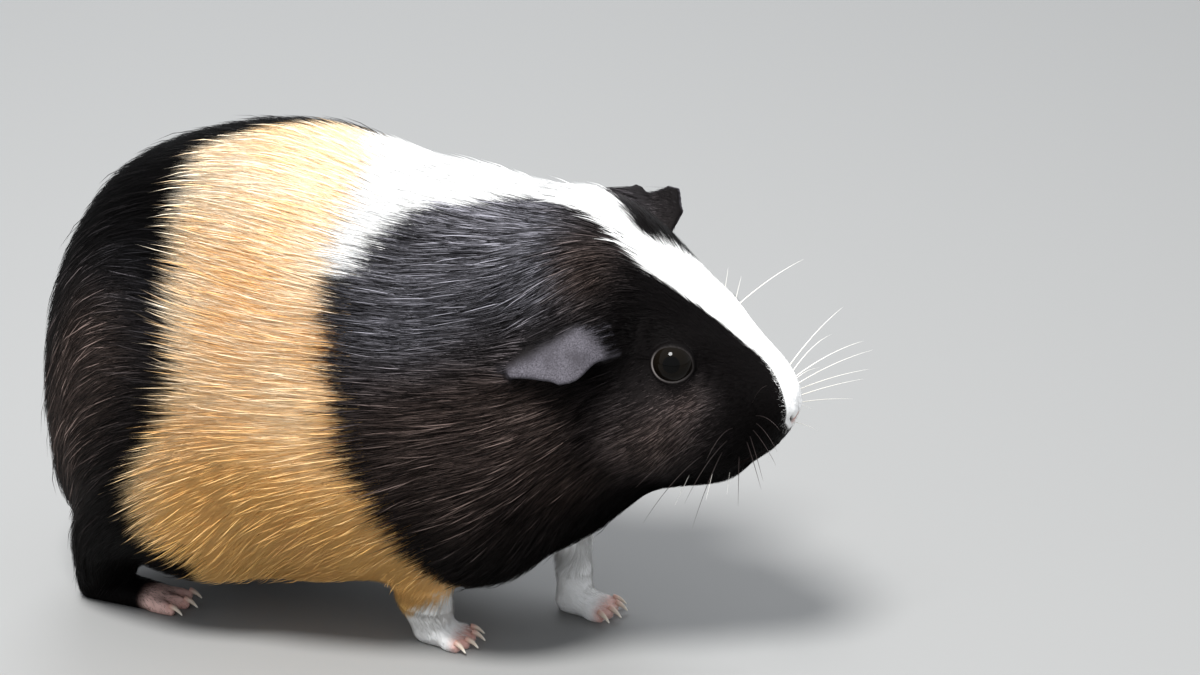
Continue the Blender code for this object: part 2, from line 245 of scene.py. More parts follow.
# %% [markdown]
# The facets of the solids must not show through. Each point of the net moves towards the
# mean of its neighbours, many times over. Ears and feet are small and thin, so they are
# held almost still while the trunk and head round off.

# %% Smoothing the net
ROUNDS, PULL = 60, 0.5  # the share of the way to the mean in each round
FEET_HELD, EARS_HELD = 0.46, 0.42  # what feet and ears take off that pull


def relaxed(values, ends, pull, rounds):
    """Values at the points, each drawn towards its neighbours' mean."""
    pull = np.broadcast_to(pull, len(values))[:, None]
    count = np.bincount(ends.ravel(), minlength=len(values))
    for _ in range(rounds):
        total = np.stack([
            np.bincount(ends[:, 0], column[ends[:, 1]], len(values))
            + np.bincount(ends[:, 1], column[ends[:, 0]], len(values))
            for column in values.T
        ], 1)
        values = values + pull * (total / count[:, None] - values)
    return values


pull = PULL - FEET_HELD * foot_share - EARS_HELD * ear_share * (1 - foot_share)
net = relaxed(net, ends, pull, ROUNDS)
put_points(skin_mesh, net)
print(f"smoothed in {ROUNDS} rounds")

# %% [markdown]
# How long the hair is. It is shortest on the nose and grows steadily backwards, so one
# curve of the distance from the nose gives most of it. Low on the legs it shortens again,
# and on ears and feet it is a bloom. The skin lies below the solids by the depth of the
# coat, a share of the hair's length.

# %% Length and depth of the coat
NOSE = np.array((109, 0, 74)) * MM
# distance from the nose and length of hair, both in mm
HAIR_BY_DISTANCE = ((0, 1.6), (12, 3.2), (25, 5), (45, 9), (60, 13), (80, 18), (110, 22), (230, 25))
# height above the floor and length of hair, both in mm
FORELEG_HAIR = ((4, 2.6), (10, 4.5), (16, 8), (30, 14), (50, 27))
HINDLEG_HAIR = ((4, 4), (8, 8), (13, 13), (30, 17), (50, 27))
BELLY_HAIR = ((8, 12), (22, 16), (50, 27))
EAR_HAIR, FOOT_HAIR = 1.3 * MM, 3 * MM
COAT_DEPTH, FOOT_THIN = 0.12, 0.6  # of the hair's length, and what a foot takes off it
DEPTH_ROUNDS = 20
DEEPEST, SHALLOWEST = 2.8 * MM, 0.3 * MM
BEHIND_FORELEGS = -10 * MM


def hair_length(points, leg, ear, foot):
    height = points[:, 2] / MM
    length = reading(HAIR_BY_DISTANCE, np.linalg.norm(points - NOSE, axis=1) / MM) * MM
    length = np.minimum(length, reading(BELLY_HAIR, height) * MM)
    fore, hind = (reading(curve, height) * MM for curve in (FORELEG_HAIR, HINDLEG_HAIR))
    low = np.where(points[:, 0] > BEHIND_FORELEGS, fore, hind)
    length = length + leg * (np.minimum(length, low) - length)
    length = length + foot * (FOOT_HAIR - length)
    return length + ear * (EAR_HAIR - length)


def coat_depth(length, ear, foot):
    depth = np.clip(COAT_DEPTH * length, SHALLOWEST, DEEPEST)
    return depth * (1 - ear) * (1 - FOOT_THIN * foot)


leg_share = nearness(net, LEGS, 0.8 * MM, 5 * MM)
length = hair_length(net, leg_share, ear_share, foot_share)
depth = coat_depth(length, ear_share, foot_share)
depth = relaxed(depth[:, None], ends, PULL, DEPTH_ROUNDS)[:, 0]
net = net - normals_of(skin_mesh) * depth[:, None]
put_points(skin_mesh, net)
print(f"hair {length.min() / MM:.1f} to {length.max() / MM:.1f} mm, skin up to {depth.max() / MM:.1f} mm in")

# %% [markdown]
# Under long hair the net may be coarse, while the face, ears and feet keep every point.
# Decimate takes a weight for this, as a vertex group.

# %% A coarser net under the long hair
SKIN_TRIANGLES = 160_000
FINE_HAIR, COARSE_HAIR = 8 * MM, 13 * MM


def thinned(mesh, weight, triangles):
    obj = new_object(mesh.name, mesh)
    group = obj.vertex_groups.new(name="coarse")
    for i in np.where(weight > 0)[0]:
        group.add([int(i)], float(weight[i]), "REPLACE")
    now = sum(len(face.vertices) - 2 for face in mesh.polygons)
    fewer = obj.modifiers.new("fewer", "DECIMATE")
    fewer.ratio = triangles / now
    fewer.use_collapse_triangulate = True
    fewer.vertex_group = "coarse"
    return baked(obj)


skin_mesh = thinned(skin_mesh, ramp(length, FINE_HAIR, COARSE_HAIR), SKIN_TRIANGLES)
print(f"skin: {len(skin_mesh.polygons)} triangles")

# %% [markdown]
# The face needs a finer net for its lids, nostrils and lips. Only the edges near them are
# divided.

# %% A finer net round the eyes and the mouth
EYE_CENTRES = {side: sum(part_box(f"eye_{side}"), Vector()) / 2 for side in ("right", "left")}
EYE_RADIUS = (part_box("eye_right")[1].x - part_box("eye_right")[0].x) / 2
EYE_REACH, MUZZLE_REACH = 9.5 * MM, 12 * MM
MUZZLE = np.array((108, 0, 66)) * MM


def refined(mesh, places):
    work = bmesh.new()
    work.from_mesh(mesh)
    near = set()
    for place, reach in places:
        aim = Vector(place)
        near |= {vert for vert in work.verts if (vert.co - aim).length < reach}
    edges = [edge for edge in work.edges if edge.verts[0] in near and edge.verts[1] in near]
    bmesh.ops.subdivide_edges(work, edges=edges, cuts=1, use_grid_fill=True, smooth=0.0)
    bmesh.ops.triangulate(work, faces=[face for face in work.faces if len(face.verts) > 3])
    work.to_mesh(mesh)
    work.free()


refined(skin_mesh, [(place, EYE_REACH) for place in EYE_CENTRES.values()] + [(MUZZLE, MUZZLE_REACH)])
print(f"skin: {len(skin_mesh.polygons)} triangles after refining")

# %% [markdown]
# A lid is easiest to describe as seen from the eye. These helpers give for each point how
# many degrees it lies outside the rim of the opening, and where on the way round it is. The
# opening is not round: it is longer than high, and drawn out at the front corner.

# %% Angles round an eye
# the opening in degrees from the way the eye looks: its mean, what its length adds and its
# height takes, how much lower it reaches than higher, and what the front corner adds
OPENING, LONGER, LOWER, CORNER = 60, 6, 3.5, 8
CORNER_AT, CORNER_WIDTH = -0.3, 0.3  # radians round the rim
LOOK = (0.25, 1.0, 0.22)  # of the left eye


def gaze(side):
    return unit(np.array(on_side(-1 if side == "right" else 1, [LOOK])))[0]


def round_the_eye(points, side):
    """Degrees outside the rim, the direction round it (0 is the front corner), and the distance."""
    look = gaze(side)
    front = unit((np.array([(1.0, 0, 0)]) - look * look[0]))[0]
    above = np.array((0, 0, 1.0)) - look * look[2]
    above = above / np.linalg.norm(above)
    arm = points - np.array(EYE_CENTRES[side])
    reach = np.maximum(np.linalg.norm(arm, axis=1), 1e-9)
    slant = np.degrees(np.arccos(np.clip(arm @ look / reach, -1, 1)))
    around = np.arctan2(arm @ above, arm @ front)
    corner = CORNER * np.exp(-((around - CORNER_AT) / CORNER_WIDTH) ** 2)
    opening = OPENING + LONGER * np.cos(2 * around) - LOWER * np.sin(around) + corner
    return slant - opening, around, reach


print(f"opening of {2 * OPENING} degrees")

# %% [markdown]
# The lids. Round each eye the skin is read as a height above the eyeball's centre, by the
# angle from the way the eye looks. Inside the opening the skin drops behind the ball, at
# the rim it stands proud as a rounded lid, and further out it fades into the face. This
# keeps one closed skin, where a cut hole would leave an open edge.

# %% Lids
LID_THICKNESS, BEHIND_THE_BALL = 0.5 * MM, 1.2 * MM
CREASE, CREASE_AT, CREASE_WIDTH = 0.35 * MM, 21, 5  # its depth, and degrees outside the rim
EYE_FACE = 2.2 * EYE_RADIUS  # how far from the eye's centre the lids shape the face
LID_END, FACE_START = 9, 36  # degrees outside the rim


def opened(points, side):
    beyond, _, reach = round_the_eye(points, side)
    crease = CREASE * np.exp(-((beyond - CREASE_AT) / CREASE_WIDTH) ** 2)
    rim = EYE_RADIUS + LID_THICKNESS * ramp(beyond, -1, 6) - crease
    hidden = EYE_RADIUS - BEHIND_THE_BALL
    lid = hidden + (rim - hidden) * ramp(beyond, -7, 1)
    blend = ramp(beyond, LID_END, FACE_START)
    height = lid + (np.maximum(reach, EYE_RADIUS + LID_THICKNESS) - lid) * blend
    centre = np.array(EYE_CENTRES[side])
    moved = centre + (points - centre) * (height / reach)[:, None]
    near = (beyond < FACE_START) & (reach < EYE_FACE)
    return np.where(near[:, None], moved, points)


net = points_of(skin_mesh)
for side in EYE_CENTRES:
    net = opened(net, side)
print("lids opened")

# %% [markdown]
# Nostrils, the split of the upper lip and the mouth are grooves. Each follows a short line
# of points that is drawn on to the skin, and the skin near it sinks along its normal.

# %% Nostrils and mouth
# points of the line in mm for the left side, depth and half width in mm
NOSTRIL = (((110.5, 1.3, 69.6), (110.2, 2.5, 70.4), (109, 3.6, 72.2)), 1.5, 0.55)
NOSTRIL_WING = (((110, 1.5, 72.8), (109.6, 3.2, 73.8)), -0.35, 1.2)
LIP_SPLIT = (((111, 0, 68.6), (110, 0, 65), (108.6, 0, 62.6)), 0.8, 0.5)
MOUTH = (((108.6, 0, 62.6), (106.5, 3.4, 61.2), (102.5, 6.8, 60), (97, 9.5, 59)), 0.85, 0.6)
LINE_STEPS = 12
GROOVE_REACH = 20 * MM  # from the line's middle, further out nothing sinks


def drawn_line(mesh, corners):
    """Points close together along the line, each moved to the nearest place on the skin."""
    tree = tree_of(mesh)
    line = []
    for start, end in zip(corners, corners[1:]):
        for share in np.linspace(0, 1, LINE_STEPS):
            at = Vector(start).lerp(Vector(end), share) * MM
            line.append(tree.find_nearest(at)[0])
    return np.array(line)


def grooved(mesh, points, normals, corners, depth, width):
    line = drawn_line(mesh, corners)
    near = np.where(np.linalg.norm(points - line.mean(0), axis=1) < GROOVE_REACH)[0]
    gap = np.linalg.norm(points[near, None] - line[None], axis=2).min(1)
    sunk = np.zeros(len(points))
    sunk[near] = np.exp(-((gap / (width * MM)) ** 2))
    return points - normals * (depth * MM * sunk)[:, None], sunk


put_points(skin_mesh, net)
mouth_share = np.zeros(len(net))
for corners, deep, wide in (NOSTRIL_WING, NOSTRIL, LIP_SPLIT, MOUTH):
    for side in (1, -1):
        line = on_side(side, corners)
        net, sunk = grooved(skin_mesh, net, normals_of(skin_mesh), line, deep, wide)
        if deep > 0:
            mouth_share = np.maximum(mouth_share, sunk)
put_points(skin_mesh, net)
print(f"{int((mouth_share > 0.5).sum())} points in the nostrils and lips")

# %% [markdown]
# The skin has its final shape now. These shares say where each point lies: on an ear, a
# foot, a leg, or by the rim of an eye. The fur of the crown hangs over the upper part of
# each ear, so only what lies beyond a line across it counts as bare. The left ear stands up,
# and the face that it turns to the crown wears short fur.

# %% Ears, feet and rims
# a point on the line in mm, and the way across it towards the bare part
EAR_BARE = (((53, -32, 97.2), (0.55, 0, -0.84)), ((56, 33, 112), (1, 0, 0.2)))
INNER_EAR_HAIR = 3.2 * MM
LID_HAIR, CHEEK_HAIR, LIP_HAIR, MUZZLE_HAIR = 1.0 * MM, 5 * MM, 1.2 * MM, 20 * MM

ends = ends_of(skin_mesh)
normals = normals_of(skin_mesh)
rims = [round_the_eye(net, side) for side in EYE_CENTRES]
first = rims[0][2] < rims[1][2]
eye_rim, eye_round, eye_gap = (np.where(first, a, b) for a, b in zip(*rims))
eye_rim = np.where(eye_gap < EYE_FACE, eye_rim, 90)
ear_share = nearness(net, EARS, 0.7 * MM, 1.5 * MM)
beyond_line = [(net - np.array(at) * MM) @ np.array(across) for at, across in EAR_BARE]
bare_ear = ear_share * ramp(np.where(net[:, 1] < 0, *beyond_line), -1.5 * MM, 2.5 * MM)
furred_face = bare_ear * np.where(net[:, 1] > 0, ramp(-normals[:, 1], -0.1, 0.35), 0)
bare_ear = bare_ear - furred_face
foot_share = nearness(net, FEET, 0.9 * MM, 3 * MM)
leg_share = nearness(net, LEGS, 4 * MM, 8 * MM)
length = hair_length(net, leg_share, bare_ear, foot_share)
length = length + furred_face * (INNER_EAR_HAIR - length)
by_lids = LID_HAIR + CHEEK_HAIR * ramp(eye_rim, 3, 60) + 40 * MM * ramp(eye_rim, 50, 80)
by_lips = MUZZLE_HAIR - (MUZZLE_HAIR - LIP_HAIR) * ramp(mouth_share, 0.05, 0.4)
length = np.minimum(length, np.minimum(by_lids, by_lips))
depth = coat_depth(length, ear_share, foot_share)
print(f"bare ear: {int((bare_ear > 0.5).sum())} points")

# %% [markdown]
# The lie of the coat. Hair runs back from the nose, and turns down over rump, thighs, legs
# and cheeks. Each stroke of the comb below has a place, a reach and a way, and works on
# both sides; the field between them is their weighted mean, laid flat on the skin.

# %% Combing
COMB = (
    # place in mm on the left side, reach in mm, way
    ((-108, 0, 70), 46, (-0.1, 0, -1.0)),
    ((-90, 0, 118), 28, (-0.8, 0, -0.5)),
    ((-62, 54, 40), 22, (-0.8, 0, -0.5)),
    ((-22, 52, 34), 24, (-0.55, 0, -0.85)),
    ((-40, 50, 98), 28, (-0.95, 0, 0.28)),
    ((15, 48, 60), 16, (-0.85, 0, -0.3)),
    ((-80, 28, 10), 22, (0.15, 0, -1.0)),
    ((45, 20, 35), 24, (-0.65, 0, -0.75)),
    ((20, 25, 14), 18, (-0.2, 0, -1.0)),
    ((72, 32, 68), 20, (-0.9, 0, -0.42)),
    ((82, 18, 52), 16, (-0.9, 0, -0.5)),
    ((56, 26, 110), 11, (-0.55, 0.35, -0.8)),
    ((40, 32, 112), 13, (-0.75, 0.2, -0.55)),
    ((30, 44, 92), 15, (-0.97, 0, -0.2)),
    ((0, 50, 85), 30, (-1.0, 0, 0.05)),
)
COMB_PULL, COMB_ROUNDS = 5.0, 12
BACKWARDS, TO_THE_TOES = (-1.0, 0, -0.1), (1.0, 0, -0.3)


def combed(points):
    way = np.tile(BACKWARDS, (len(points), 1))
    for place, reach, stroke in COMB:
        for side in (-1, 1):
            at, pull = on_side(side, (place, stroke))
            way += COMB_PULL * spot(points, at, reach)[:, None] * np.array(pull)
    return way + COMB_PULL * foot_share[:, None] * np.array(TO_THE_TOES)


def laid_flat(way, normals):
    return unit(way - normals * (way * normals).sum(1)[:, None])


way = laid_flat(combed(net), normals)
way = laid_flat(relaxed(way, ends, PULL, COMB_ROUNDS), normals)
print(f"combed with {2 * len(COMB)} strokes")

# %% [markdown]
# The markings: tan, white and black. The edge of each patch is a curve round the body, from
# an angle about its long axis to a place along it. A patch is then a distance inside its
# edges, worked out where the tip of the hair lies, so that hair of one colour overhangs
# the next as it does on the animal.

# %% Edges of the markings
AXIS_HEIGHT = 65
# angle in degrees from the right side, up over the back to the left; place along the body in mm
TAN_REAR = (
    (-40, -50), (-35, -65), (-20, -67), (0, -57), (15, -52),
    (80, -62), (90, -42), (110, -14), (125, -45), (250, -50),
)
TAN_FRONT = (
    (-70, 29), (-40, 11), (0, -4), (30, -8), (45, -11),
    (85, -11), (95, -19), (115, -13), (160, -8), (250, 20),
)
SADDLE_FRONT = ((40, -12), (45, -8), (60, -1), (70, 5), (80, 25), (90, 40), (105, 18), (140, -11))
# place along the body and place across it, both in mm
BLAZE_RIGHT = ((0, -22), (30, -6), (45, -9), (70, -15), (90, -6), (100, -4), (109, -8))
BLAZE_LEFT = ((0, 26), (46, 22), (60, -2), (66, -5), (71, -2), (80, 13), (90, 17), (109, 10))
BLAZE_LOWEST, ROUNDED = 66.5, 0.07
EDGES = (TAN_REAR, TAN_FRONT, SADDLE_FRONT, BLAZE_RIGHT, BLAZE_LEFT)
print(f"{sum(len(table) for table in EDGES)} corners in {len(EDGES)} edges")

# %% [markdown]
# Where two patches meet, the larger distance wins for white and the smaller for tan, which
# is how shapes are joined and cut when they are kept as distances.

# %% Patches as distances
NOWHERE = -50  # mm, far outside a patch
OVERHANG = 0.5  # of the hair's length
# how low the tan comes on the right side, the left side and the left shoulder, in mm
TAN_RIGHT, TAN_LEFT, TAN_SHOULDER = 3, 22, 46
BACK = (41, 140)  # degrees, where the saddle can lie
RIGHT_SOCK, LEFT_SOCK = 14, 34  # mm


def markings(points):
    """How far inside the tan and the white each point is, in metres, below 0 outside."""
    x, y, z = points.T / MM
    angle = np.degrees(np.arctan2(z - AXIS_HEIGHT, -y))
    angle = np.where(angle < -90, angle + 360, angle)
    tan = np.minimum(x - reading(TAN_REAR, angle), reading(TAN_FRONT, angle) - x)
    tan = np.minimum(tan, z - np.where(y < -4, TAN_RIGHT, TAN_LEFT))
    tan = np.where((y > 4) & (x > 0), np.minimum(tan, z - TAN_SHOULDER), tan)
    saddle = np.minimum(x - reading(TAN_FRONT, angle), reading(SADDLE_FRONT, angle) - x)
    saddle = np.where((angle > BACK[0]) & (angle < BACK[1]), saddle, NOWHERE)
    blaze = np.minimum(y - reading(BLAZE_RIGHT, x), reading(BLAZE_LEFT, x) - y)
    blaze = np.minimum(blaze, z - BLAZE_LOWEST - ROUNDED * y * y)
    blaze = np.where((x > 0) & (z > 60), blaze, NOWHERE)
    right_sock = np.minimum(0.8 * x + 2.5, RIGHT_SOCK) - z
    right_sock = np.where((y < -5) & (x > -5), right_sock, NOWHERE)
    left_sock = np.minimum(LEFT_SOCK + 0.2 * x - z, x + 2)
    left_sock = np.where((y > 1) & (x > 0), left_sock, NOWHERE)
    white = np.maximum.reduce([saddle, blaze, right_sock, left_sock])
    return tan * MM, white * MM


over = way * (OVERHANG * length)[:, None] + normals * depth[:, None]
tan_in, white_in = markings(net + over)
print(f"tan {100 * (tan_in > 0).mean():.0f} %, white {100 * (white_in > 0).mean():.0f} % of the points")

# %% [markdown]
# Black fur is never one black. Its sheen is painted into the colour: a few lighter strands
# stand for the highlights where light catches the hair. Low on the neck, on the cheek and on
# the rump this painted sheen is brown, partly the hair's own brown, over the shoulder and the
# nape it is cold, and round the muzzle there is none. The tan is paler on the back, partly
# from painted highlight, and golden below. Two numbers over the body say this: one from cold
# to warm, and one for the painted sheen.

# %% Warmth and painted sheen
# place in mm on the left side, reach in mm, warmth (below 0 for cold), and painted sheen
TONES = (
    ((20, 35, 105), 20, -0.7, 0.55), ((35, 15, 125), 17, -1.0, 0.9), ((50, 25, 112), 11, -0.4, 0.5),
    ((60, 20, 115), 9, 0.8, 0.2), ((30, 45, 65), 22, 0.9, 0.36), ((50, 38, 75), 11, 0.9, 0.3),
    ((80, 25, 70), 12, 0.4, 0.8), ((88, 20, 80), 5, 0.2, 0.6), ((60, 30, 57), 9, 0.5, 0.15),
    ((20, 45, 95), 12, -0.1, 0.3), ((-75, 45, 85), 20, 0.9, 0.6), ((-90, 40, 60), 20, 0.9, 0.4),
    ((-35, 40, 120), 34, -0.9, 0.0), ((-25, 55, 35), 24, 1.2, 0.0), ((0, 40, 22), 20, 1.0, 0.0),
)


def tone_of(points):
    found = np.zeros((len(points), 2))
    for place, reach, *values in TONES:
        for at in on_side(-1, [place]) + on_side(1, [place]):
            found += spot(points, at, reach)[:, None] * values
    return np.clip(found, -1, 1).T


tone, painted_sheen = tone_of(net)
print(f"tone from {tone.min():.1f} to {tone.max():.1f}, sheen to {painted_sheen.max():.1f}")

# %% [markdown]
# How dense the coat is. Short hair is fine and stands close, and a long tuft covers more, so
# the number of tufts follows from the length of the hair. Lids, lips, nose and toes stay
# nearly bare.

# %% How dense the tufts stand
# length of hair in mm, and tufts for a square metre of skin
DENSITY_BY_LENGTH = (
    (1.2, 3.0e6), (2, 4.8e6), (3, 6.6e6), (5.5, 6.6e6), (9, 5.6e6), (14, 4.5e6), (20, 3.6e6), (27, 3.4e6),
)
NOSE_PAD, NOSE_PAD_SIZE = np.array((110.4, 0, 70.2)) * MM, (1.6, 2.8)
# how far the bare toes reach back from the tip of the foot, and how long fur takes to cover it
FORE_TOES, HIND_TOES, TOE_EDGE = 6.5 * MM, 14 * MM, 4 * MM
TOES_THIN, LIPS_THIN = 0.75, 0.8  # of the tufts, left out there


def bare_toes(points):
    """1 on the bare toes of each foot."""
    found = np.zeros(len(points))
    for name in FEET:
        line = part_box(name)[1].x - (HIND_TOES if "hind" in name else FORE_TOES)
        share = ramp(points[:, 0], line, line + TOE_EDGE)
        found = np.where(in_box(points, name, 2 * MM), share, found)
    return found


density = reading(DENSITY_BY_LENGTH, length / MM) * ramp(eye_rim, 2, 5)
nose_share = 1 - ramp(np.linalg.norm(net - NOSE_PAD, axis=1) / MM, *NOSE_PAD_SIZE)
toes = foot_share * bare_toes(net)
density *= (1 - TOES_THIN * toes) * (1 - nose_share) * (1 - LIPS_THIN * ramp(mouth_share, 0.3, 0.8))
print(f"{density.max() / 1e6:.1f} tufts for a square millimetre at most")

# %% [markdown]
# The coat's pieces. A coat in one piece would be too heavy to keep, so it is parted into
# patches that hold a like number of tufts each. The faces of the skin are sorted by where
# they lie, and cut where the sum of their tufts reaches a share. Short and long hair go to
# different pieces, because they grow in different ways.

# %% Sharing out the coat
MOST_TUFTS = 48_500
SHORT_HAIR = 10.5 * MM


def areas_of(points, faces):
    a, b, c = (points[faces[:, i]] for i in range(3))
    return np.linalg.norm(np.cross(b - a, c - a), axis=1) / 2


faces = faces_of(skin_mesh)
tufts = density[faces].mean(1) * areas_of(net, faces)
short = length[faces].mean(1) < SHORT_HAIR
middle = net[faces].mean(1)
part = np.zeros(len(faces), int)
PARTS = []
for kind, chosen in (("long", ~short), ("short", short)):
    index = np.where(chosen)[0]
    index = index[np.argsort(middle[index, 0])]
    running = np.cumsum(tufts[index])
    count = max(1, math.ceil(running[-1] / MOST_TUFTS))
    step_of = np.minimum((running / running[-1] * count).astype(int), count - 1)
    part[index] = step_of + len(PARTS) + 1
    PARTS += [(f"coat_{kind}_{i + 1}", kind, len(PARTS) + 1 + i) for i in range(count)]
print(f"{tufts.sum():.0f} tufts in {len(PARTS)} pieces")

# %% [markdown]
# All of this goes on to the skin as attributes, where the tree that grows the coat and the
# materials find it by name.

# %% What the skin carries
def put_attribute(mesh, name, kind, values, domain="POINT"):
    made = mesh.attributes.new(name, kind, domain)
    key = "vector" if kind == "FLOAT_VECTOR" else "value"
    made.data.foreach_set(key, np.asarray(values, np.int32 if kind == "INT" else np.float32).ravel())


LEAST_LIFT = 0.5 * MM  # of hair on the feet and on the covered part of the ears
below_eye = 0.15 + 0.85 * ramp(-np.sin(eye_round + 0.5), -0.3, 0.7)
CARRIED = {
    "hair_length": length,
    "hair_lift": np.maximum(depth, LEAST_LIFT * np.maximum(foot_share, ear_share - bare_ear)),
    "hair_density": density, "tan_in": tan_in, "white_in": white_in, "tone": tone, "painted_sheen": painted_sheen,
    "ear_share": bare_ear, "nose_share": nose_share, "mouth_share": mouth_share, "bare_share": toes,
    "rim_share": ramp(eye_rim, -3, -1) * (1 - ramp(eye_rim, 1.5, 4)) * below_eye,
    # the skin behind each eyeball, which the skin's material paints dark as shade
    "inner_lid": 1 - ramp(eye_rim, -9, -5),
}
for name, values in CARRIED.items():
    put_attribute(skin_mesh, name, "FLOAT", values)
put_attribute(skin_mesh, "lie", "FLOAT_VECTOR", way)
put_attribute(skin_mesh, "coat_part", "INT", part, "FACE")
print(f"{len(CARRIED) + 2} attributes")

# %% [markdown]
# An unwrap of the skin tells each tuft where its colour will be kept when the model is
# exported.

# %% Unwrapping the skin
skin_mesh.shade_smooth()
skin = new_object("skin", skin_mesh)
bpy.context.view_layer.objects.active = skin
skin.select_set(True)
skin_mesh.uv_layers.new(name="unwrap")
bpy.ops.object.mode_set(mode="EDIT")
bpy.ops.mesh.select_all(action="SELECT")
bpy.ops.uv.smart_project(angle_limit=math.radians(66), island_margin=0.002)
bpy.ops.object.mode_set(mode="OBJECT")
skin.select_set(False)
print(f"{len(skin_mesh.uv_layers)} map on the skin")

# %% [markdown]
# Node trees are written here as sums. One class wraps a socket, so that `1 - mask` or
# `way * length` adds the Math or Vector Math node that it needs. Each sign works from both
# sides.

# %% Sums that add nodes
class Wire:
    """A socket that adds a node to its tree when it is used in a sum."""

    def __init__(self, graph, socket):
        self.graph, self.socket = graph, socket

    def __getitem__(self, name):
        return Wire(self.graph, self.socket.node.outputs[name])

    def _is_vector(self, value):
        return isinstance(value, tuple) or (isinstance(value, Wire) and value.socket.type == "VECTOR")

    def _sum(self, operation, *pair):
        kind = "ShaderNodeMath"
        if any(self._is_vector(value) for value in pair):
            kind = "ShaderNodeVectorMath"
            pair = [value if isinstance(value, (Wire, tuple)) else (value,) * 3 for value in pair]
        return self.graph.node(kind, {"operation": operation}, dict(enumerate(pair)))


def plain(operation):
    return lambda self, other: self._sum(operation, self, other)


def reflected(operation):
    return lambda self, other: self._sum(operation, other, self)


for sign, operation in (("add", "ADD"), ("sub", "SUBTRACT"), ("mul", "MULTIPLY"), ("truediv", "DIVIDE")):
    setattr(Wire, f"__{sign}__", plain(operation))
    setattr(Wire, f"__r{sign}__", reflected(operation))
print("sums ready")

# %% [markdown]
# The second class wraps a tree. Its method `node` adds any node from its type, its
# settings and its sockets, and hands back one of its outputs.

# %% A node tree
class Graph:
    """A node tree, with one method that adds any node."""

    def __init__(self, tree):
        self.tree = tree

    def _socket(self, sockets, key):
        if isinstance(key, int):
            return sockets[key]
        return next(one for one in sockets if one.name == key and one.enabled)

    def node(self, kind, settings=None, sockets=None, out=0):
        made = self.tree.nodes.new(kind)
        for key, value in (settings or {}).items():
            setattr(made, key, value)
        for key, value in (sockets or {}).items():
            socket = self._socket(made.inputs, key)
            if isinstance(value, Wire):
                self.tree.links.new(value.socket, socket)
            else:
                socket.default_value = value
        return Wire(self, self._socket(made.outputs, out))

    def vector(self, operation, *values, out=0):
        return self.node("ShaderNodeVectorMath", {"operation": operation}, dict(enumerate(values)), out)

    def maths(self, operation, *values):
        return self.node("ShaderNodeMath", {"operation": operation}, dict(enumerate(values)))


print("node trees ready")

# %% [markdown]
# A geometry tree reads attributes by name, stores new ones, and draws random numbers from a
# fixed seed. Its own sizes are named inputs, so one tree can serve several pieces.

# %% Trees that make geometry
def named(graph, name, kind="FLOAT"):
    return graph.node("GeometryNodeInputNamedAttribute", {"data_type": kind}, {"Name": name}, "Attribute")


def kept(graph, geometry, name, value, kind="FLOAT", domain="POINT"):
    sockets = {"Geometry": geometry, "Name": name, "Value": value}
    return graph.node("GeometryNodeStoreNamedAttribute", {"data_type": kind, "domain": domain}, sockets)


def chance(graph, low, high, seed):
    sockets = {"Min": low, "Max": high, "Seed": seed}
    return graph.node("FunctionNodeRandomValue", {"data_type": "FLOAT"}, sockets, "Value")


def noise(graph, place, scale, detail=2.0):
    """Between 0 and 1, with about `scale` waves to a metre."""
    return graph.node("ShaderNodeTexNoise", None, {"Vector": place, "Scale": scale, "Detail": detail}, "Fac")


def fresh_tree(name, first_input, inputs, output):
    """A geometry tree with its named inputs and its output."""
    tree = bpy.data.node_groups.new(name, "GeometryNodeTree")
    tree.interface.new_socket(first_input, in_out="INPUT", socket_type="NodeSocketGeometry")
    for label, kind, value in inputs:
        socket = tree.interface.new_socket(label, in_out="INPUT", socket_type="NodeSocket" + kind)
        if value is not None:
            socket.default_value = value
    tree.interface.new_socket(output, in_out="OUTPUT", socket_type="NodeSocketGeometry")
    graph = Graph(tree)
    return graph, graph.node("NodeGroupInput")


def ending(graph, given, geometry):
    """Smooth shading, the finish, and the end of the tree."""
    smooth = graph.node("GeometryNodeSetShadeSmooth", None, {"Geometry": geometry})
    whole = graph.node("GeometryNodeRealizeInstances", None, {"Geometry": smooth})
    sockets = {"Geometry": whole, "Material": given["Finish"]}
    done = graph.node("GeometryNodeSetMaterial", None, sockets)
    graph.tree.links.new(done.socket, graph.tree.nodes.new("NodeGroupOutput").inputs[0])


print("tree helpers ready")

# %% [markdown]
# The coat is grown by one tree, which is run once for each piece with other values. It
# starts from random points on the skin, as many as the density there asks for, and only on
# the faces that belong to the piece.

# %% Points strewn over the skin
COAT_INPUTS = (
    ("Part", "Int", 1), ("Segments", "Int", 1), ("Seed", "Int", 7), ("Width", "Float", 0.36 * MM),
    ("Lock Size", "Float", 4 * MM), ("Lock Pull", "Float", 0.3), ("Stray", "Float", 0.07),
    ("Wave", "Float", 0.18), ("Lift", "Float", 1.0), ("Stand", "Float", 0.06), ("Cut", "Float", 0.62),
    ("Share", "Float", 1.0), ("Finish", "Material", None),
)


def scattered(graph, given):
    """Points strewn over one part of the skin."""
    same = {2: named(graph, "coat_part", "INT"), 3: given["Part"]}
    here = graph.node("FunctionNodeCompare", {"data_type": "INT", "operation": "EQUAL"}, same)
    density = named(graph, "hair_density") * given["Share"]
    sockets = {"Mesh": given["Skin"], "Selection": here, "Density": density, "Seed": given["Seed"]}
    return graph.node("GeometryNodeDistributePointsOnFaces", {"distribute_method": "RANDOM"}, sockets)


print(f"{len(COAT_INPUTS)} inputs")

# %% [markdown]
# Each point keeps where it is rooted, how its tuft runs and how high its tip lies. The way
# of the hair swirls a little, widely and closely, and hair of one lock leans towards one
# middle, which gives the partings seen in fur.

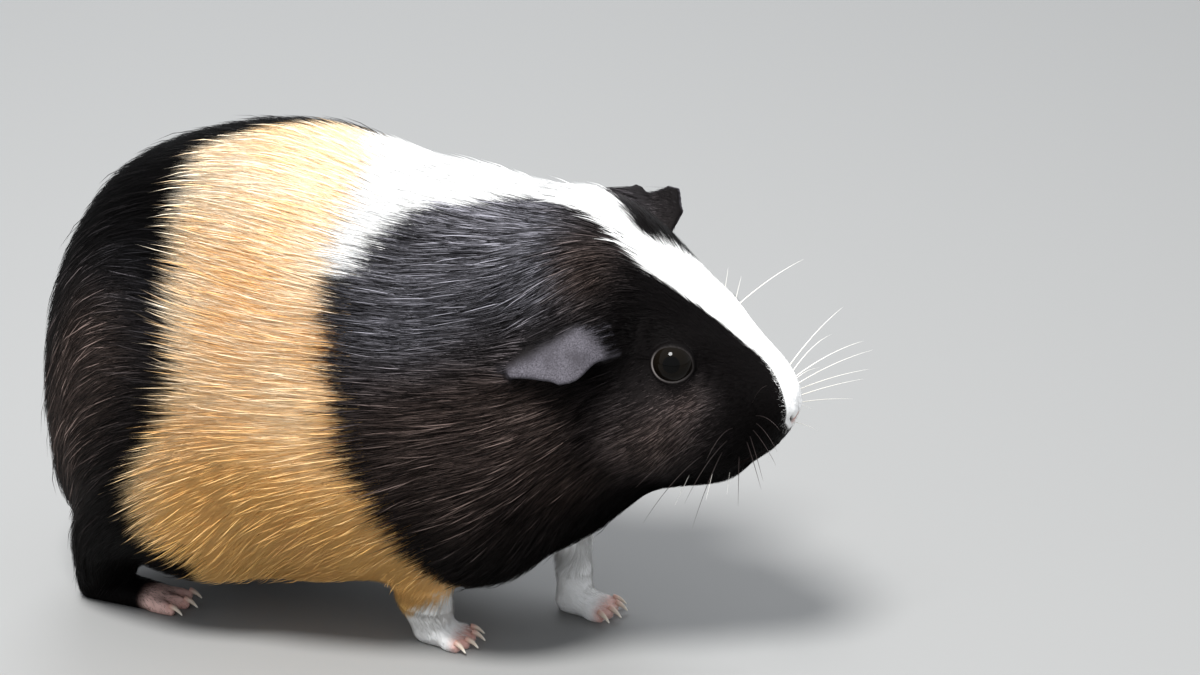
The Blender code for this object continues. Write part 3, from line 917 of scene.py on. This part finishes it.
# %% Where the tufts stand
WIDE_SWIRL, CLOSE_SWIRL = 45.0, 260.0  # waves to a metre
WIDE_TURN, CLOSE_TURN = 2.2, 1.6
RUN_RANGE, LIFT_RANGE, WIDTH_RANGE = (0.75, 1.15), (0.6, 1.08), (0.7, 1.25)  # from tuft to tuft
RARITY = 14.0  # the higher, the fewer hairs that stand up


def strewn(graph, given):
    """Points on the skin that carry all that a tuft needs."""
    points = scattered(graph, given)
    up = points["Normal"]
    place = graph.node("GeometryNodeInputPosition")
    lie = named(graph, "lie", "FLOAT_VECTOR")
    hair = named(graph, "hair_length")
    wide, close = noise(graph, place, WIDE_SWIRL, 1.0), noise(graph, place, CLOSE_SWIRL, 1.0)
    turn = (wide - 0.5) * given["Wave"] * WIDE_TURN + (close - 0.5) * given["Wave"] * CLOSE_TURN
    turn = turn + chance(graph, -1.0, 1.0, 3) * given["Stray"]
    run = graph.vector("NORMALIZE", lie + graph.vector("CROSS_PRODUCT", up, lie) * turn)
    reach = hair * given["Cut"] * chance(graph, *RUN_RANGE, 4)
    locks = {"Vector": place, "Scale": 1.0 / given["Lock Size"]}
    lean = (graph.node("ShaderNodeTexVoronoi", None, locks, "Position") - place) * given["Lock Pull"]
    lean = lean - up * graph.vector("DOT_PRODUCT", lean, up, out="Value")
    rare = graph.maths("POWER", chance(graph, 0.0, 1.0, 5), RARITY)
    lift = named(graph, "hair_lift") * given["Lift"] * chance(graph, *LIFT_RANGE, 6)
    for name, value, kind in (
        ("root_place", place, "FLOAT_VECTOR"),
        ("root_map", named(graph, "unwrap", "FLOAT_VECTOR"), "FLOAT_VECTOR"),
        ("tuft_run", run * reach, "FLOAT_VECTOR"),
        ("tuft_lean", lean, "FLOAT_VECTOR"),
        ("tuft_lift", lift + hair * given["Stand"] * rare * 0.5, "FLOAT"),
        ("tuft_width", given["Width"] * chance(graph, *WIDTH_RANGE, 8), "FLOAT"),
        ("strand", chance(graph, 0.0, 1.0, 9), "FLOAT"),
    ):
        points = kept(graph, points, name, value, kind)
    return points


print("tufts strewn by attributes")

# %% [markdown]
# The blade is a cone of three corners. Hair as curves would be lost on export, and a flat
# card would show its edge, so each blade is solid. It keeps for each point how far along
# the tuft it lies, and where on the ring round the tuft's middle. A blade of one segment
# is widest at its root, and one of more is widest part of the way up.

# %% The blade of a tuft
ROOT_WIDTH, SWELLING = 0.7, 2.6  # of the ring, and what it gains up the blade


def blades(graph, given, points):
    sides = {"Vertices": 3, "Side Segments": given["Segments"]}
    sides.update({"Radius Top": 0.0, "Radius Bottom": 1.0, "Depth": 1.0})
    cone = graph.node("GeometryNodeMeshCone", {"fill_type": "NGON"}, sides, "Mesh")
    place = graph.node("GeometryNodeInputPosition")
    rise = graph.node("ShaderNodeSeparateXYZ", None, {0: place}, "Z")
    blade = kept(graph, cone, "along", rise)
    ring = place * (rise * SWELLING + ROOT_WIDTH) * (1.0, 1.0, 0.0)
    blade = kept(graph, blade, "ring", ring, "FLOAT_VECTOR")
    grown = graph.node("GeometryNodeInstanceOnPoints", None, {"Points": points, "Instance": blade})
    return graph.node("GeometryNodeRealizeInstances", None, {"Geometry": grown})


print("blade ready")

# %% [markdown]
# The tree that grows the coat bends each blade along the skin: every ring of it is put over
# the nearest place on the skin, as high as the coat is there. Its patch of the map lies at
# its root's place on the unwrapped skin.

# %% The tree that grows the coat
ROOT_SINK = 0.35 * MM
FLATNESS = 0.7  # of a blade's thickness to its width
PATCH = 0.003  # of the map, for each tuft
FLOOR_GAP = 0.2 * MM  # no tuft goes into the floor


def on_the_skin(graph, given, over):
    """The nearest place on the skin, and the way out of it."""
    sockets = {0: given["Skin"], "Sample Position": over}
    ground = graph.node("GeometryNodeProximity", {"target_element": "FACES"}, sockets, "Position")
    normal = graph.node("GeometryNodeInputNormal")
    sockets = {"Mesh": given["Skin"], "Value": normal, "Sample Position": over}
    outward = graph.node("GeometryNodeSampleNearestSurface", {"data_type": "FLOAT_VECTOR"}, sockets, "Value")
    return ground, graph.vector("NORMALIZE", outward)


def coat_tree():
    graph, given = fresh_tree("coat_tufts", "Skin", COAT_INPUTS, "Coat")
    grown = blades(graph, given, strewn(graph, given))
    along = named(graph, "along")
    straight = named(graph, "tuft_run", "FLOAT_VECTOR")
    over = named(graph, "root_place", "FLOAT_VECTOR") + straight * along
    over = over + named(graph, "tuft_lean", "FLOAT_VECTOR") * (along * along)
    ground, outward = on_the_skin(graph, given, over)
    sideways = graph.vector("NORMALIZE", graph.vector("CROSS_PRODUCT", outward, straight))
    left = 1.0 - along
    height = named(graph, "tuft_lift") * (1.0 - left * left) - left * ROOT_SINK
    ring = named(graph, "ring", "FLOAT_VECTOR")
    ring_x, ring_y = (graph.node("ShaderNodeSeparateXYZ", None, {0: ring}, axis) for axis in "XY")
    half = named(graph, "tuft_width") * 0.5
    final = ground + outward * (height + ring_y * half * FLATNESS) + sideways * (ring_x * half)
    final = graph.vector("MAXIMUM", final, (-1.0, -1.0, FLOOR_GAP))
    bent = graph.node("GeometryNodeSetPosition", None, {"Geometry": grown, "Position": final})
    on_map = {0: ring_x * (PATCH / 2), 1: (along - 0.5) * PATCH + ring_y * (PATCH / 8)}
    spread = named(graph, "root_map", "FLOAT_VECTOR") + graph.node("ShaderNodeCombineXYZ", None, on_map)
    ending(graph, given, kept(graph, bent, "OFBake", spread, "FLOAT2", "CORNER"))
    return graph.tree


coat_grower = coat_tree()
print(f"coat tree: {len(coat_grower.nodes)} nodes")

# %% [markdown]
# Materials. A few short helpers keep each of them readable: an attribute by name, a mix of
# two colours, a soft step across an edge, and a grain that catches the light.

# %% Helpers for materials
FUR_GLOSS = 0.045  # fur hardly mirrors, so its blacks stay deep


def attribute(graph, name, out="Fac"):
    settings = {"attribute_type": "GEOMETRY", "attribute_name": name}
    return graph.node("ShaderNodeAttribute", settings, None, out)


def mixed(graph, share, first, second):
    pair = [value if isinstance(value, Wire) else (*value, 1) for value in (first, second)]
    return graph.node("ShaderNodeMix", {"data_type": "RGBA"}, {0: share, 6: pair[0], 7: pair[1]}, 2)


def step(graph, value, soft, centre=0.0):
    """0 to 1 across an edge, over `soft` each way."""
    sockets = {0: value, 1: centre - soft, 2: centre + soft, 3: 0.0, 4: 1.0}
    return graph.node("ShaderNodeMapRange", {"interpolation_type": "SMOOTHSTEP"}, sockets)


def bumped(graph, height, strength, distance):
    sockets = {"Strength": strength, "Distance": distance, "Height": height}
    return graph.node("ShaderNodeBump", None, sockets, "Normal")


def fresh_material(name):
    made = bpy.data.materials.new(name)
    made.use_nodes = True
    made.node_tree.nodes.clear()
    return made, Graph(made.node_tree)


def finish_material(graph, sockets):
    shader = graph.node("ShaderNodeBsdfPrincipled", None, sockets, "BSDF")
    out = graph.tree.nodes.new("ShaderNodeOutputMaterial")
    graph.tree.links.new(shader.socket, out.inputs["Surface"])


print("material helpers ready")

# %% [markdown]
# The colour of the fur. The two distances that each tuft carries from its root say which
# patch it belongs to. Grain shifts the edge a little from tuft to tuft, so the colours
# interleave. Within a patch no two strands are alike. In the black a few strands are painted
# lighter as sheen, and the pale streaks of the tan are partly paler hair and partly painted
# highlight.

# %% Fur in three colours
# the black's own colour, then two colours of painted sheen: the brown partly the hair's own, the cold one
# wholly painted sheen
BLACK, BROWN_HAIR_AND_SHEEN, COLD_PAINTED_SHEEN = (0.002, 0.0015, 0.0015), (0.39, 0.285, 0.25), (0.42, 0.41, 0.46)
PEACH, GOLD = (0.95, 0.71, 0.45), (0.97, 0.57, 0.16)
DEEP_TAN, PALE_TAN = (0.94, 0.55, 0.22), (0.98, 0.88, 0.71)
WHITE, CREAM = (0.86, 0.86, 0.85), (0.80, 0.77, 0.72)
EDGE_GRAIN, EDGE_LOCKS, EDGE_SOFT = 3 * MM, 4.5 * MM, 0.5 * MM
FINE, LOCKS, BROAD = 150.0, 60.0, 28.0  # waves to a metre
LEAST_PAINTED_SHEEN, STRAND_PAINTED_SHEEN = 0.04, 1.6  # of the black fur, for all of it and for a few strands


def fur_colour(graph, place, strand, along, scatter):
    fine, locks, broad = (noise(graph, place, waves) for waves in (FINE, LOCKS, BROAD))
    shift = (fine - 0.5) * EDGE_GRAIN + (locks - 0.5) * EDGE_LOCKS + (strand - 0.5) * scatter
    warm = step(graph, attribute(graph, "tone"), 0.6)
    few = graph.maths("POWER", strand, 3.0)
    # painted sheen: a share of lighter strands where light catches the black fur
    painted_sheen_share = attribute(graph, "painted_sheen") * (few * (fine + 0.5) * STRAND_PAINTED_SHEEN + LEAST_PAINTED_SHEEN)
    black = mixed(graph, painted_sheen_share, BLACK, mixed(graph, warm, COLD_PAINTED_SHEEN, BROWN_HAIR_AND_SHEEN))
    golden = mixed(graph, warm, PEACH, GOLD)
    golden = mixed(graph, step(graph, broad + (strand - 0.5) * 0.4, 0.2, 0.40), DEEP_TAN, golden)
    # pale streaks in the tan, partly paler hair and partly painted highlight, most on the back
    lit = step(graph, broad * 0.7 + strand * 0.45 + along * 0.1, 0.3, 0.72) * (1.0 - warm * 0.8)
    golden = mixed(graph, lit, golden, PALE_TAN)
    pale = mixed(graph, few * 0.4, WHITE, CREAM)
    colour = mixed(graph, step(graph, attribute(graph, "tan_in") + shift, EDGE_SOFT), black, golden)
    return mixed(graph, step(graph, attribute(graph, "white_in") + shift * 0.5, EDGE_SOFT), colour, pale)


print("fur colours ready")

# %% [markdown]
# The coat's finish. Each strand has its own gloss, so that the light breaks up along the
# coat instead of lying on it as one sheen.

# %% The coat's material
SLATE, SLATE_TIP = (0.036, 0.033, 0.038), (0.105, 0.099, 0.114)
SCATTER = 2.2 * MM  # of the tufts across an edge


def coat_material():
    made, graph = fresh_material("coat")
    strand = attribute(graph, "strand")
    root = attribute(graph, "root_place", "Vector")
    colour = fur_colour(graph, root, strand, attribute(graph, "along"), SCATTER)
    velvet = mixed(graph, strand * strand, SLATE, SLATE_TIP)
    colour = mixed(graph, attribute(graph, "ear_share"), colour, velvet)
    rough = 0.34 + strand * 0.22
    finish_material(graph, {"Base Color": colour, "Roughness": rough, "Specular IOR Level": FUR_GLOSS})
    return made


coat_finish = coat_material()
print(coat_finish.name)

# %% [markdown]
# The skin shows only where the coat is thin: on ears, toes, lids and lips. It carries the
# coat's colours below the fur, and its own on the bare places, with fine creases and the
# grain of the short hair as bump. Nostrils, the creases of the lips and the skin that tucks
# in behind each eyeball are painted near black, as painted shade.

# %% The skin's material
PINK, DEEP_PINK, PAD = (0.68, 0.46, 0.41), (0.52, 0.28, 0.24), (0.60, 0.40, 0.36)
# a grey for the rim of the lids, and a near black that is painted shade in nostrils, lip creases and behind
# the lids
LID_GREY, PAINTED_CREASE_SHADE = (0.14, 0.125, 0.12), (0.03, 0.016, 0.014)
CREASES, FLUSH, NAP = 1100.0, 130.0, 2600.0  # waves to a metre


def skin_material():
    made, graph = fresh_material("skin")
    place = graph.node("ShaderNodeTexCoord", None, None, "Object")
    fine, broad = noise(graph, place, CREASES, 3.0), noise(graph, place, FLUSH)
    colour = fur_colour(graph, place, 0.3, 0.5, 0.0)
    nap = noise(graph, place, NAP)
    velvet = mixed(graph, step(graph, nap, 0.3, 0.5) * step(graph, broad, 0.2, 0.42), SLATE, SLATE_TIP)
    colour = mixed(graph, attribute(graph, "ear_share"), colour, velvet)
    pink = mixed(graph, step(graph, broad + fine * 0.3, 0.2, 0.65), PINK, DEEP_PINK)
    colour = mixed(graph, attribute(graph, "bare_share"), colour, pink)
    colour = mixed(graph, attribute(graph, "nose_share"), colour, PAD)
    # painted shade in the nostrils and the creases of the lips
    colour = mixed(graph, step(graph, attribute(graph, "mouth_share"), 0.25, 0.45), colour, PAINTED_CREASE_SHADE)
    colour = mixed(graph, attribute(graph, "rim_share"), colour, LID_GREY)
    # painted shade where the lid tucks in behind the eyeball
    colour = mixed(graph, attribute(graph, "inner_lid"), colour, PAINTED_CREASE_SHADE)
    normal = bumped(graph, fine + broad * 0.6, 0.5, 0.15 * MM)
    sockets = {"Base Color": colour, "Roughness": 0.5 + fine * 0.3}
    sockets.update({"Specular IOR Level": FUR_GLOSS, "Normal": normal})
    finish_material(graph, sockets)
    return made


skin_mesh.materials.clear()
skin_mesh.materials.append(skin_material())
print("skin finished")

# %% [markdown]
# Growing. The tree runs once for each piece of the coat. Long hair stands in wide locks,
# and the short hair of face and feet is finer and lies closer. A last, thin layer grows
# among the long hair, stands a little higher and breaks the outline. Each piece keeps only
# the attributes that its material and the export need.

# %% Growing the coat
LONG = {"width": 0.36 * MM, "lock_size": 3.5 * MM, "lock_pull": 0.25, "lift": 0.98}
SHORT = {"width": 0.24 * MM, "lock_size": 1.6 * MM, "lock_pull": 0.2, "cut": 0.9}
TOP = {"segments": 3, "width": 0.28 * MM, "lock_size": 6 * MM, "lift": 1.05, "cut": 0.9}
TOP.update({"stand": 0.2, "share": 0.042})
KINDS = {"long": LONG, "short": SHORT, "top": TOP}
KEEP = {
    "OFBake", "root_place", "along", "strand", "tan_in", "white_in", "tone", "painted_sheen", "ear_share",
    "position", "sharp_face", "material_index",
}


def set_inputs(modifier, **values):
    for item in modifier.node_group.interface.items_tree:
        key = item.name.replace(" ", "_").lower()
        if item.item_type == "SOCKET" and item.in_out == "INPUT" and key in values:
            modifier[item.identifier] = values[key]


def grow(name, number, **values):
    """One piece of the coat. Number 0 is the top layer, which stands wherever the hair is long."""
    mesh = skin_mesh.copy()
    if number == 0:
        mesh.attributes["coat_part"].data.foreach_set("value", short.astype(np.int32))
    obj = new_object(name, mesh)
    grower = obj.modifiers.new("coat", "NODES")
    grower.node_group = coat_grower
    set_inputs(grower, part=number, seed=number, finish=coat_finish, **values)
    mesh = baked(obj)
    for spare in [one.name for one in mesh.attributes if not one.is_required and one.name not in KEEP]:
        if not spare.startswith("."):
            mesh.attributes.remove(mesh.attributes[spare])
    return new_object(name, mesh)


total = 0
for name, kind, number in PARTS + [("coat_top", "top", 0)]:
    coat = grow(name, number, **KINDS[kind])
    triangles = sum(len(face.vertices) - 2 for face in coat.data.polygons)
    total += triangles
    print(f"{name}: {triangles} triangles")
    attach(coat, "root")
print(f"{total} triangles of coat")

# %% [markdown]
# The eyes. The eyeball is a sphere with a slightly raised cornea. It looks black, because
# the iris is nearly as dark as the pupil, and its gloss is what makes it live.

# %% Eyeballs
IRIS_EDGE, PUPIL_EDGE = 62, 24  # degrees from the way the eye looks
PUPIL, IRIS, AROUND = (0.001, 0.001, 0.001), (0.004, 0.003, 0.002), (0.006, 0.005, 0.0045)
BULGE = 0.02  # of the radius, at the cornea


def eye_material():
    made, graph = fresh_material("eye")
    slant = attribute(graph, "slant")
    colour = mixed(graph, step(graph, slant, 2.0, PUPIL_EDGE), PUPIL, IRIS)
    colour = mixed(graph, step(graph, slant, 5.0, IRIS_EDGE), colour, AROUND)
    finish_material(graph, {"Base Color": colour, "Roughness": 0.04, "Specular IOR Level": 0.09})
    return made


def eyeball(side):
    work = bmesh.new()
    bmesh.ops.create_uvsphere(work, u_segments=64, v_segments=40, radius=EYE_RADIUS)
    turn = Vector((0, 0, 1)).rotation_difference(Vector(gaze(side)))
    slants = []
    for vert in work.verts:
        slant = math.degrees(vert.co.angle(Vector((0, 0, 1))))
        slants.append(slant)
        vert.co = turn @ (vert.co * (1 + BULGE * math.exp(-(slant / 38) ** 2))) + EYE_CENTRES[side]
    mesh = mesh_of(work, f"eyeball_{side}")
    mesh.shade_smooth()
    put_attribute(mesh, "slant", "FLOAT", slants)
    mesh.materials.append(eye_finish)
    made = new_object(f"eyeball_{side}", mesh)
    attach(made, "root")
    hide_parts(f"eye_{side}")
    print(f"{made.name}: {2 * EYE_RADIUS / MM:.1f} mm across")


eye_finish = eye_material()
for side in EYE_CENTRES:
    eyeball(side)

# %% [markdown]
# Claws and whiskers are both tapered tubes along a line. A small tree makes them: each line
# becomes a curve, and a ring is swept along it, scaled by the thickness that the points of
# the line carry. Curves with a bevel would do as well, but they can't carry attributes.

# %% The tree that makes tubes
def tube_tree():
    inputs = (("Sides", "Int", 6), ("Finish", "Material", None))
    graph, given = fresh_tree("tapered_tubes", "Lines", inputs, "Tubes")
    curve = graph.node("GeometryNodeMeshToCurve", None, {"Mesh": given["Lines"]})
    factor = graph.node("GeometryNodeSplineParameter", None, None, "Factor")
    curve = kept(graph, curve, "along", factor)
    sockets = {"Resolution": given["Sides"], "Radius": 1.0}
    ring = graph.node("GeometryNodeCurvePrimitiveCircle", None, sockets, "Curve")
    sockets = {"Curve": curve, "Profile Curve": ring, "Scale": named(graph, "thickness"), "Fill Caps": True}
    ending(graph, given, graph.node("GeometryNodeCurveToMesh", None, sockets, "Mesh"))
    return graph.tree


def tubes(name, lines, sides, finish):
    """One mesh of tapered tubes. Each line is a list of (point, radius), with a value it carries."""
    points, radii, edges, values = [], [], [], []
    for line, value in lines:
        edges += [(len(points) + i, len(points) + i + 1) for i in range(len(line) - 1)]
        points += [tuple(at) for at, _ in line]
        radii += [radius for _, radius in line]
        values += [value] * len(line)
    mesh = bpy.data.meshes.new(name)
    mesh.from_pydata(points, edges, [])
    put_attribute(mesh, "thickness", "FLOAT", radii)
    put_attribute(mesh, "kind", "FLOAT", values)
    obj = new_object(name, mesh)
    maker = obj.modifiers.new("tubes", "NODES")
    maker.node_group = tube_maker
    set_inputs(maker, sides=sides, finish=finish)
    made = new_object(name, baked(obj))
    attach(made, "root")
    print(f"{name}: {len(lines)} tubes, {len(made.data.polygons)} faces")
    return made


tube_maker = tube_tree()
print(f"tube tree: {len(tube_maker.nodes)} nodes")

# %% [markdown]
# Claws. Each is a horn that leaves the toe level and bends down to a blunt tip. Its root
# and tip are read from the solid that it replaces.

# %% Claws
CLAW_STEPS = 9
CLAW_ROOT, CLAW_TIP = 0.86 * MM, 0.2 * MM  # radii
ROOT_SLICE, ROOT_HIDDEN, ARCH = 0.6 * MM, 0.5 * MM, 0.45 * MM
BLUNT = 1.6  # the higher, the longer a claw stays thick
HORN, HORN_TIP, QUICK = (0.62, 0.52, 0.42), (0.80, 0.74, 0.64), (0.55, 0.30, 0.24)


def claw_line(name):
    points = np.array([tuple(v.co) for v in NODES[name].data.vertices])
    tip = points[points[:, 0].argmax()]
    root = points[points[:, 0] < points[:, 0].min() + ROOT_SLICE].mean(0)
    root = root - unit(np.array([(tip - root) * (1, 1, 0)]))[0] * ROOT_HIDDEN
    line = []
    for share in np.linspace(0, 1, CLAW_STEPS):
        at = root + (tip - root) * share + np.array((0, 0, ARCH)) * math.sin(math.pi * share)
        line.append((at, CLAW_ROOT + (CLAW_TIP - CLAW_ROOT) * share ** BLUNT))
    line.append((line[-1][0] + (tip - root) * 0.03, CLAW_TIP * 0.3))
    return line, 0.0


def claw_material():
    made, graph = fresh_material("claw")
    along = attribute(graph, "along")
    place = graph.node("ShaderNodeTexCoord", None, None, "Object")
    streak = noise(graph, place * (900.0, 2600.0, 2600.0), 1.0)
    colour = mixed(graph, step(graph, along, 0.3, 0.25), QUICK, HORN)
    colour = mixed(graph, step(graph, along + (streak - 0.5) * 0.3, 0.2, 0.75), colour, HORN_TIP)
    normal = bumped(graph, streak, 0.25, 0.05 * MM)
    finish_material(graph, {"Base Color": colour, "Roughness": 0.3 + streak * 0.2, "Normal": normal})
    return made


claws = tubes("claws", [claw_line(name) for name in CLAWS], 12, claw_material())
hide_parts(*CLAWS)

# %% [markdown]
# Whiskers grow in rows from the side of the muzzle, with a few over the eye and under the
# chin. On the far side of the face they are pale, and among black fur they are black. Their
# places are written down one by one, because the rows are what one looks for.

# %% Whiskers
# root in mm on the left side, way, length in mm, how far the tip sinks in mm
WHISKERS = (
    ((104.5, 6.5, 82), (0.42, 0.75, 0.75), 27, 5), ((106, 7, 79), (0.55, 0.85, 0.42), 27, 5),
    ((106.5, 7.5, 77), (0.50, 0.9, 0.25), 30, 4), ((106, 8, 75), (0.55, 0.9, 0.12), 27, 3),
    ((105.5, 8.5, 73), (0.45, 0.95, 0.0), 28, 2), ((105, 9, 71), (0.50, 0.95, -0.12), 24, 2),
    ((101, 10, 76), (0.1, 1.0, 0.35), 34, 8), ((100, 11, 72), (0.0, 1.0, 0.1), 36, 8),
    ((99, 11.5, 68), (0.05, 1.0, -0.15), 30, 6), ((95, 12.5, 72), (-0.3, 1.0, 0.2), 34, 9),
    ((94, 13, 67), (-0.3, 1.0, -0.1), 28, 8), ((103, 8.5, 66), (0.3, 0.95, -0.3), 18, 3),
)
# the same for the few long hairs over the eye, on the brow and under the chin
BROW_AND_CHIN = (
    ((90, 14, 97), (0.55, 0.75, 0.55), 26, 4), ((89, 12, 98), (0.1, 0.5, 1.0), 8, 0),
    ((86, 13, 101), (0.0, 0.5, 1.0), 7, 0), ((96, 10, 60), (-0.1, 0.5, -1.0), 9, 0),
    ((90, 12, 57), (-0.35, 0.5, -1.0), 10, 0), ((100, 6, 59), (0.0, 0.4, -1.0), 7, 0),
)
BLACK_ROWS = (-5, 4, -4)  # mm, the right side's rows stand further back, in the black
BROW = 90  # above this height in mm the right side's hairs lie hidden in the fur
CHIN = 58  # below this height in mm the hairs are pale on both sides
print(f"{len(WHISKERS) + len(BROW_AND_CHIN)} whiskers on a side")

# %% [markdown]
# Each whisker is a stiff hair that leaves the skin along its way, thins out and bends under
# its own weight. Its root is drawn on to the skin.

# %% The run of a whisker
WHISKER_STEPS = 14
WHISKER_RADIUS, WHISKER_TIP = 0.13 * MM, 0.012 * MM
THINNING = 0.7
FULL_LENGTH = 20  # mm, shorter hairs are thinner
IN_THE_SKIN = 1.0  # mm


def whisker_line(tree, root, way, long, sink):
    at = np.array(tree.find_nearest(Vector(root) * MM)[0])
    way = np.array(way) / np.linalg.norm(way)
    line = []
    for share in np.linspace(0, 1, WHISKER_STEPS):
        bend = np.array((0, 0, -sink * share * share)) * MM
        radius = WHISKER_RADIUS * min(1, long / FULL_LENGTH) * (1 - share) ** THINNING + WHISKER_TIP
        line.append((at + way * (long * share - IN_THE_SKIN) * MM + bend, radius))
    return line


def whisker_lines():
    tree = tree_of(skin_mesh)
    lines = []
    for side in (1, -1):
        for root, way, long, sink in WHISKERS + BROW_AND_CHIN:
            if side < 0 and root[2] > BROW:
                continue
            if side < 0:
                root = tuple(np.add(root, BLACK_ROWS))
            mirrored = [(x, side * y, z) for x, y, z in (root, way)]
            pale = 1.0 if side > 0 or root[2] < CHIN else 0.0
            lines.append((whisker_line(tree, *mirrored, long, sink), pale))
    return lines


def whisker_material():
    made, graph = fresh_material("whisker")
    dark = mixed(graph, attribute(graph, "along"), (0.010, 0.008, 0.008), (0.04, 0.03, 0.028))
    pale = mixed(graph, attribute(graph, "along"), (0.80, 0.76, 0.68), (0.92, 0.90, 0.84))
    colour = mixed(graph, attribute(graph, "kind"), dark, pale)
    finish_material(graph, {"Base Color": colour, "Roughness": 0.4, "Specular IOR Level": 0.1})
    return made


whiskers = tubes("whiskers", whisker_lines(), 5, whisker_material())

# %% [markdown]
# The stage: a plain pale floor, and the soft light of a small studio. The stronger lamp
# hangs high over the right side, so the back is bright, the belly lies in shade and the eye
# shows one highlight near its top. The other lights the fur from behind.

# %% Floor and light
FLOOR_SIZE = 12.0  # m
LAMP_AIM = Vector((0, 0, 0.07))


def looking(obj, place, aim):
    obj.location = place
    obj.rotation_euler = (aim - place).to_track_quat("-Z", "Y").to_euler()


def floor():
    half = FLOOR_SIZE / 2
    corners = [(-half, -half, 0), (half, -half, 0), (half, half, 0), (-half, half, 0)]
    mesh = bpy.data.meshes.new("floor")
    mesh.from_pydata(corners, [], [(0, 1, 2, 3)])
    made, graph = fresh_material("floor_pale")
    finish_material(graph, {"Base Color": (0.21, 0.21, 0.205, 1), "Roughness": 0.7})
    mesh.materials.append(made)
    new_object("floor", mesh)


def lamp(name, place, size, power, colour=(1, 1, 1)):
    light = bpy.data.lights.new(name, "AREA")
    light.shape = "DISK"
    light.size = size
    light.energy = power
    light.color = colour
    looking(new_object(name, light), Vector(place), LAMP_AIM)


floor()
lamp("key", (-0.05, -0.65, 1.48), 0.52, 54)
lamp("rim", (-0.5, 1.1, 1.1), 0.8, 12, (0.93, 0.96, 1))
world = bpy.data.worlds.new("studio")
bpy.context.scene.world = world
world.use_nodes = True
world.node_tree.nodes["Background"].inputs["Color"].default_value = (0.92, 0.95, 1, 1)
world.node_tree.nodes["Background"].inputs["Strength"].default_value = 0.85
print("two lamps and a pale sky")

# %% [markdown]
# The camera. It stands a little above the back and ahead of the right side, as someone
# would who kneels beside the animal. A long lens keeps the head and the rump in proportion.

# %% Camera
LENS = 122
CAMERA_AIM = Vector((0.0537, 0, 0.0865))
CAMERA_TURN, CAMERA_RISE, CAMERA_DISTANCE = math.radians(20), math.radians(20), 1.1


def camera():
    data = bpy.data.cameras.new("camera")
    data.lens = LENS
    made = new_object("camera", data)
    flat, high = math.cos(CAMERA_RISE) * CAMERA_DISTANCE, math.sin(CAMERA_RISE) * CAMERA_DISTANCE
    back = Vector((math.sin(CAMERA_TURN) * flat, -math.cos(CAMERA_TURN) * flat, high))
    looking(made, CAMERA_AIM + back, CAMERA_AIM)
    bpy.context.scene.camera = made


camera()
bpy.context.scene.view_settings.view_transform = "Standard"
print(f"lens {LENS} mm")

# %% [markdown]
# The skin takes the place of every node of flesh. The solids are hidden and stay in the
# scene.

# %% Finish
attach(skin, "root")
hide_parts(*FLESH)
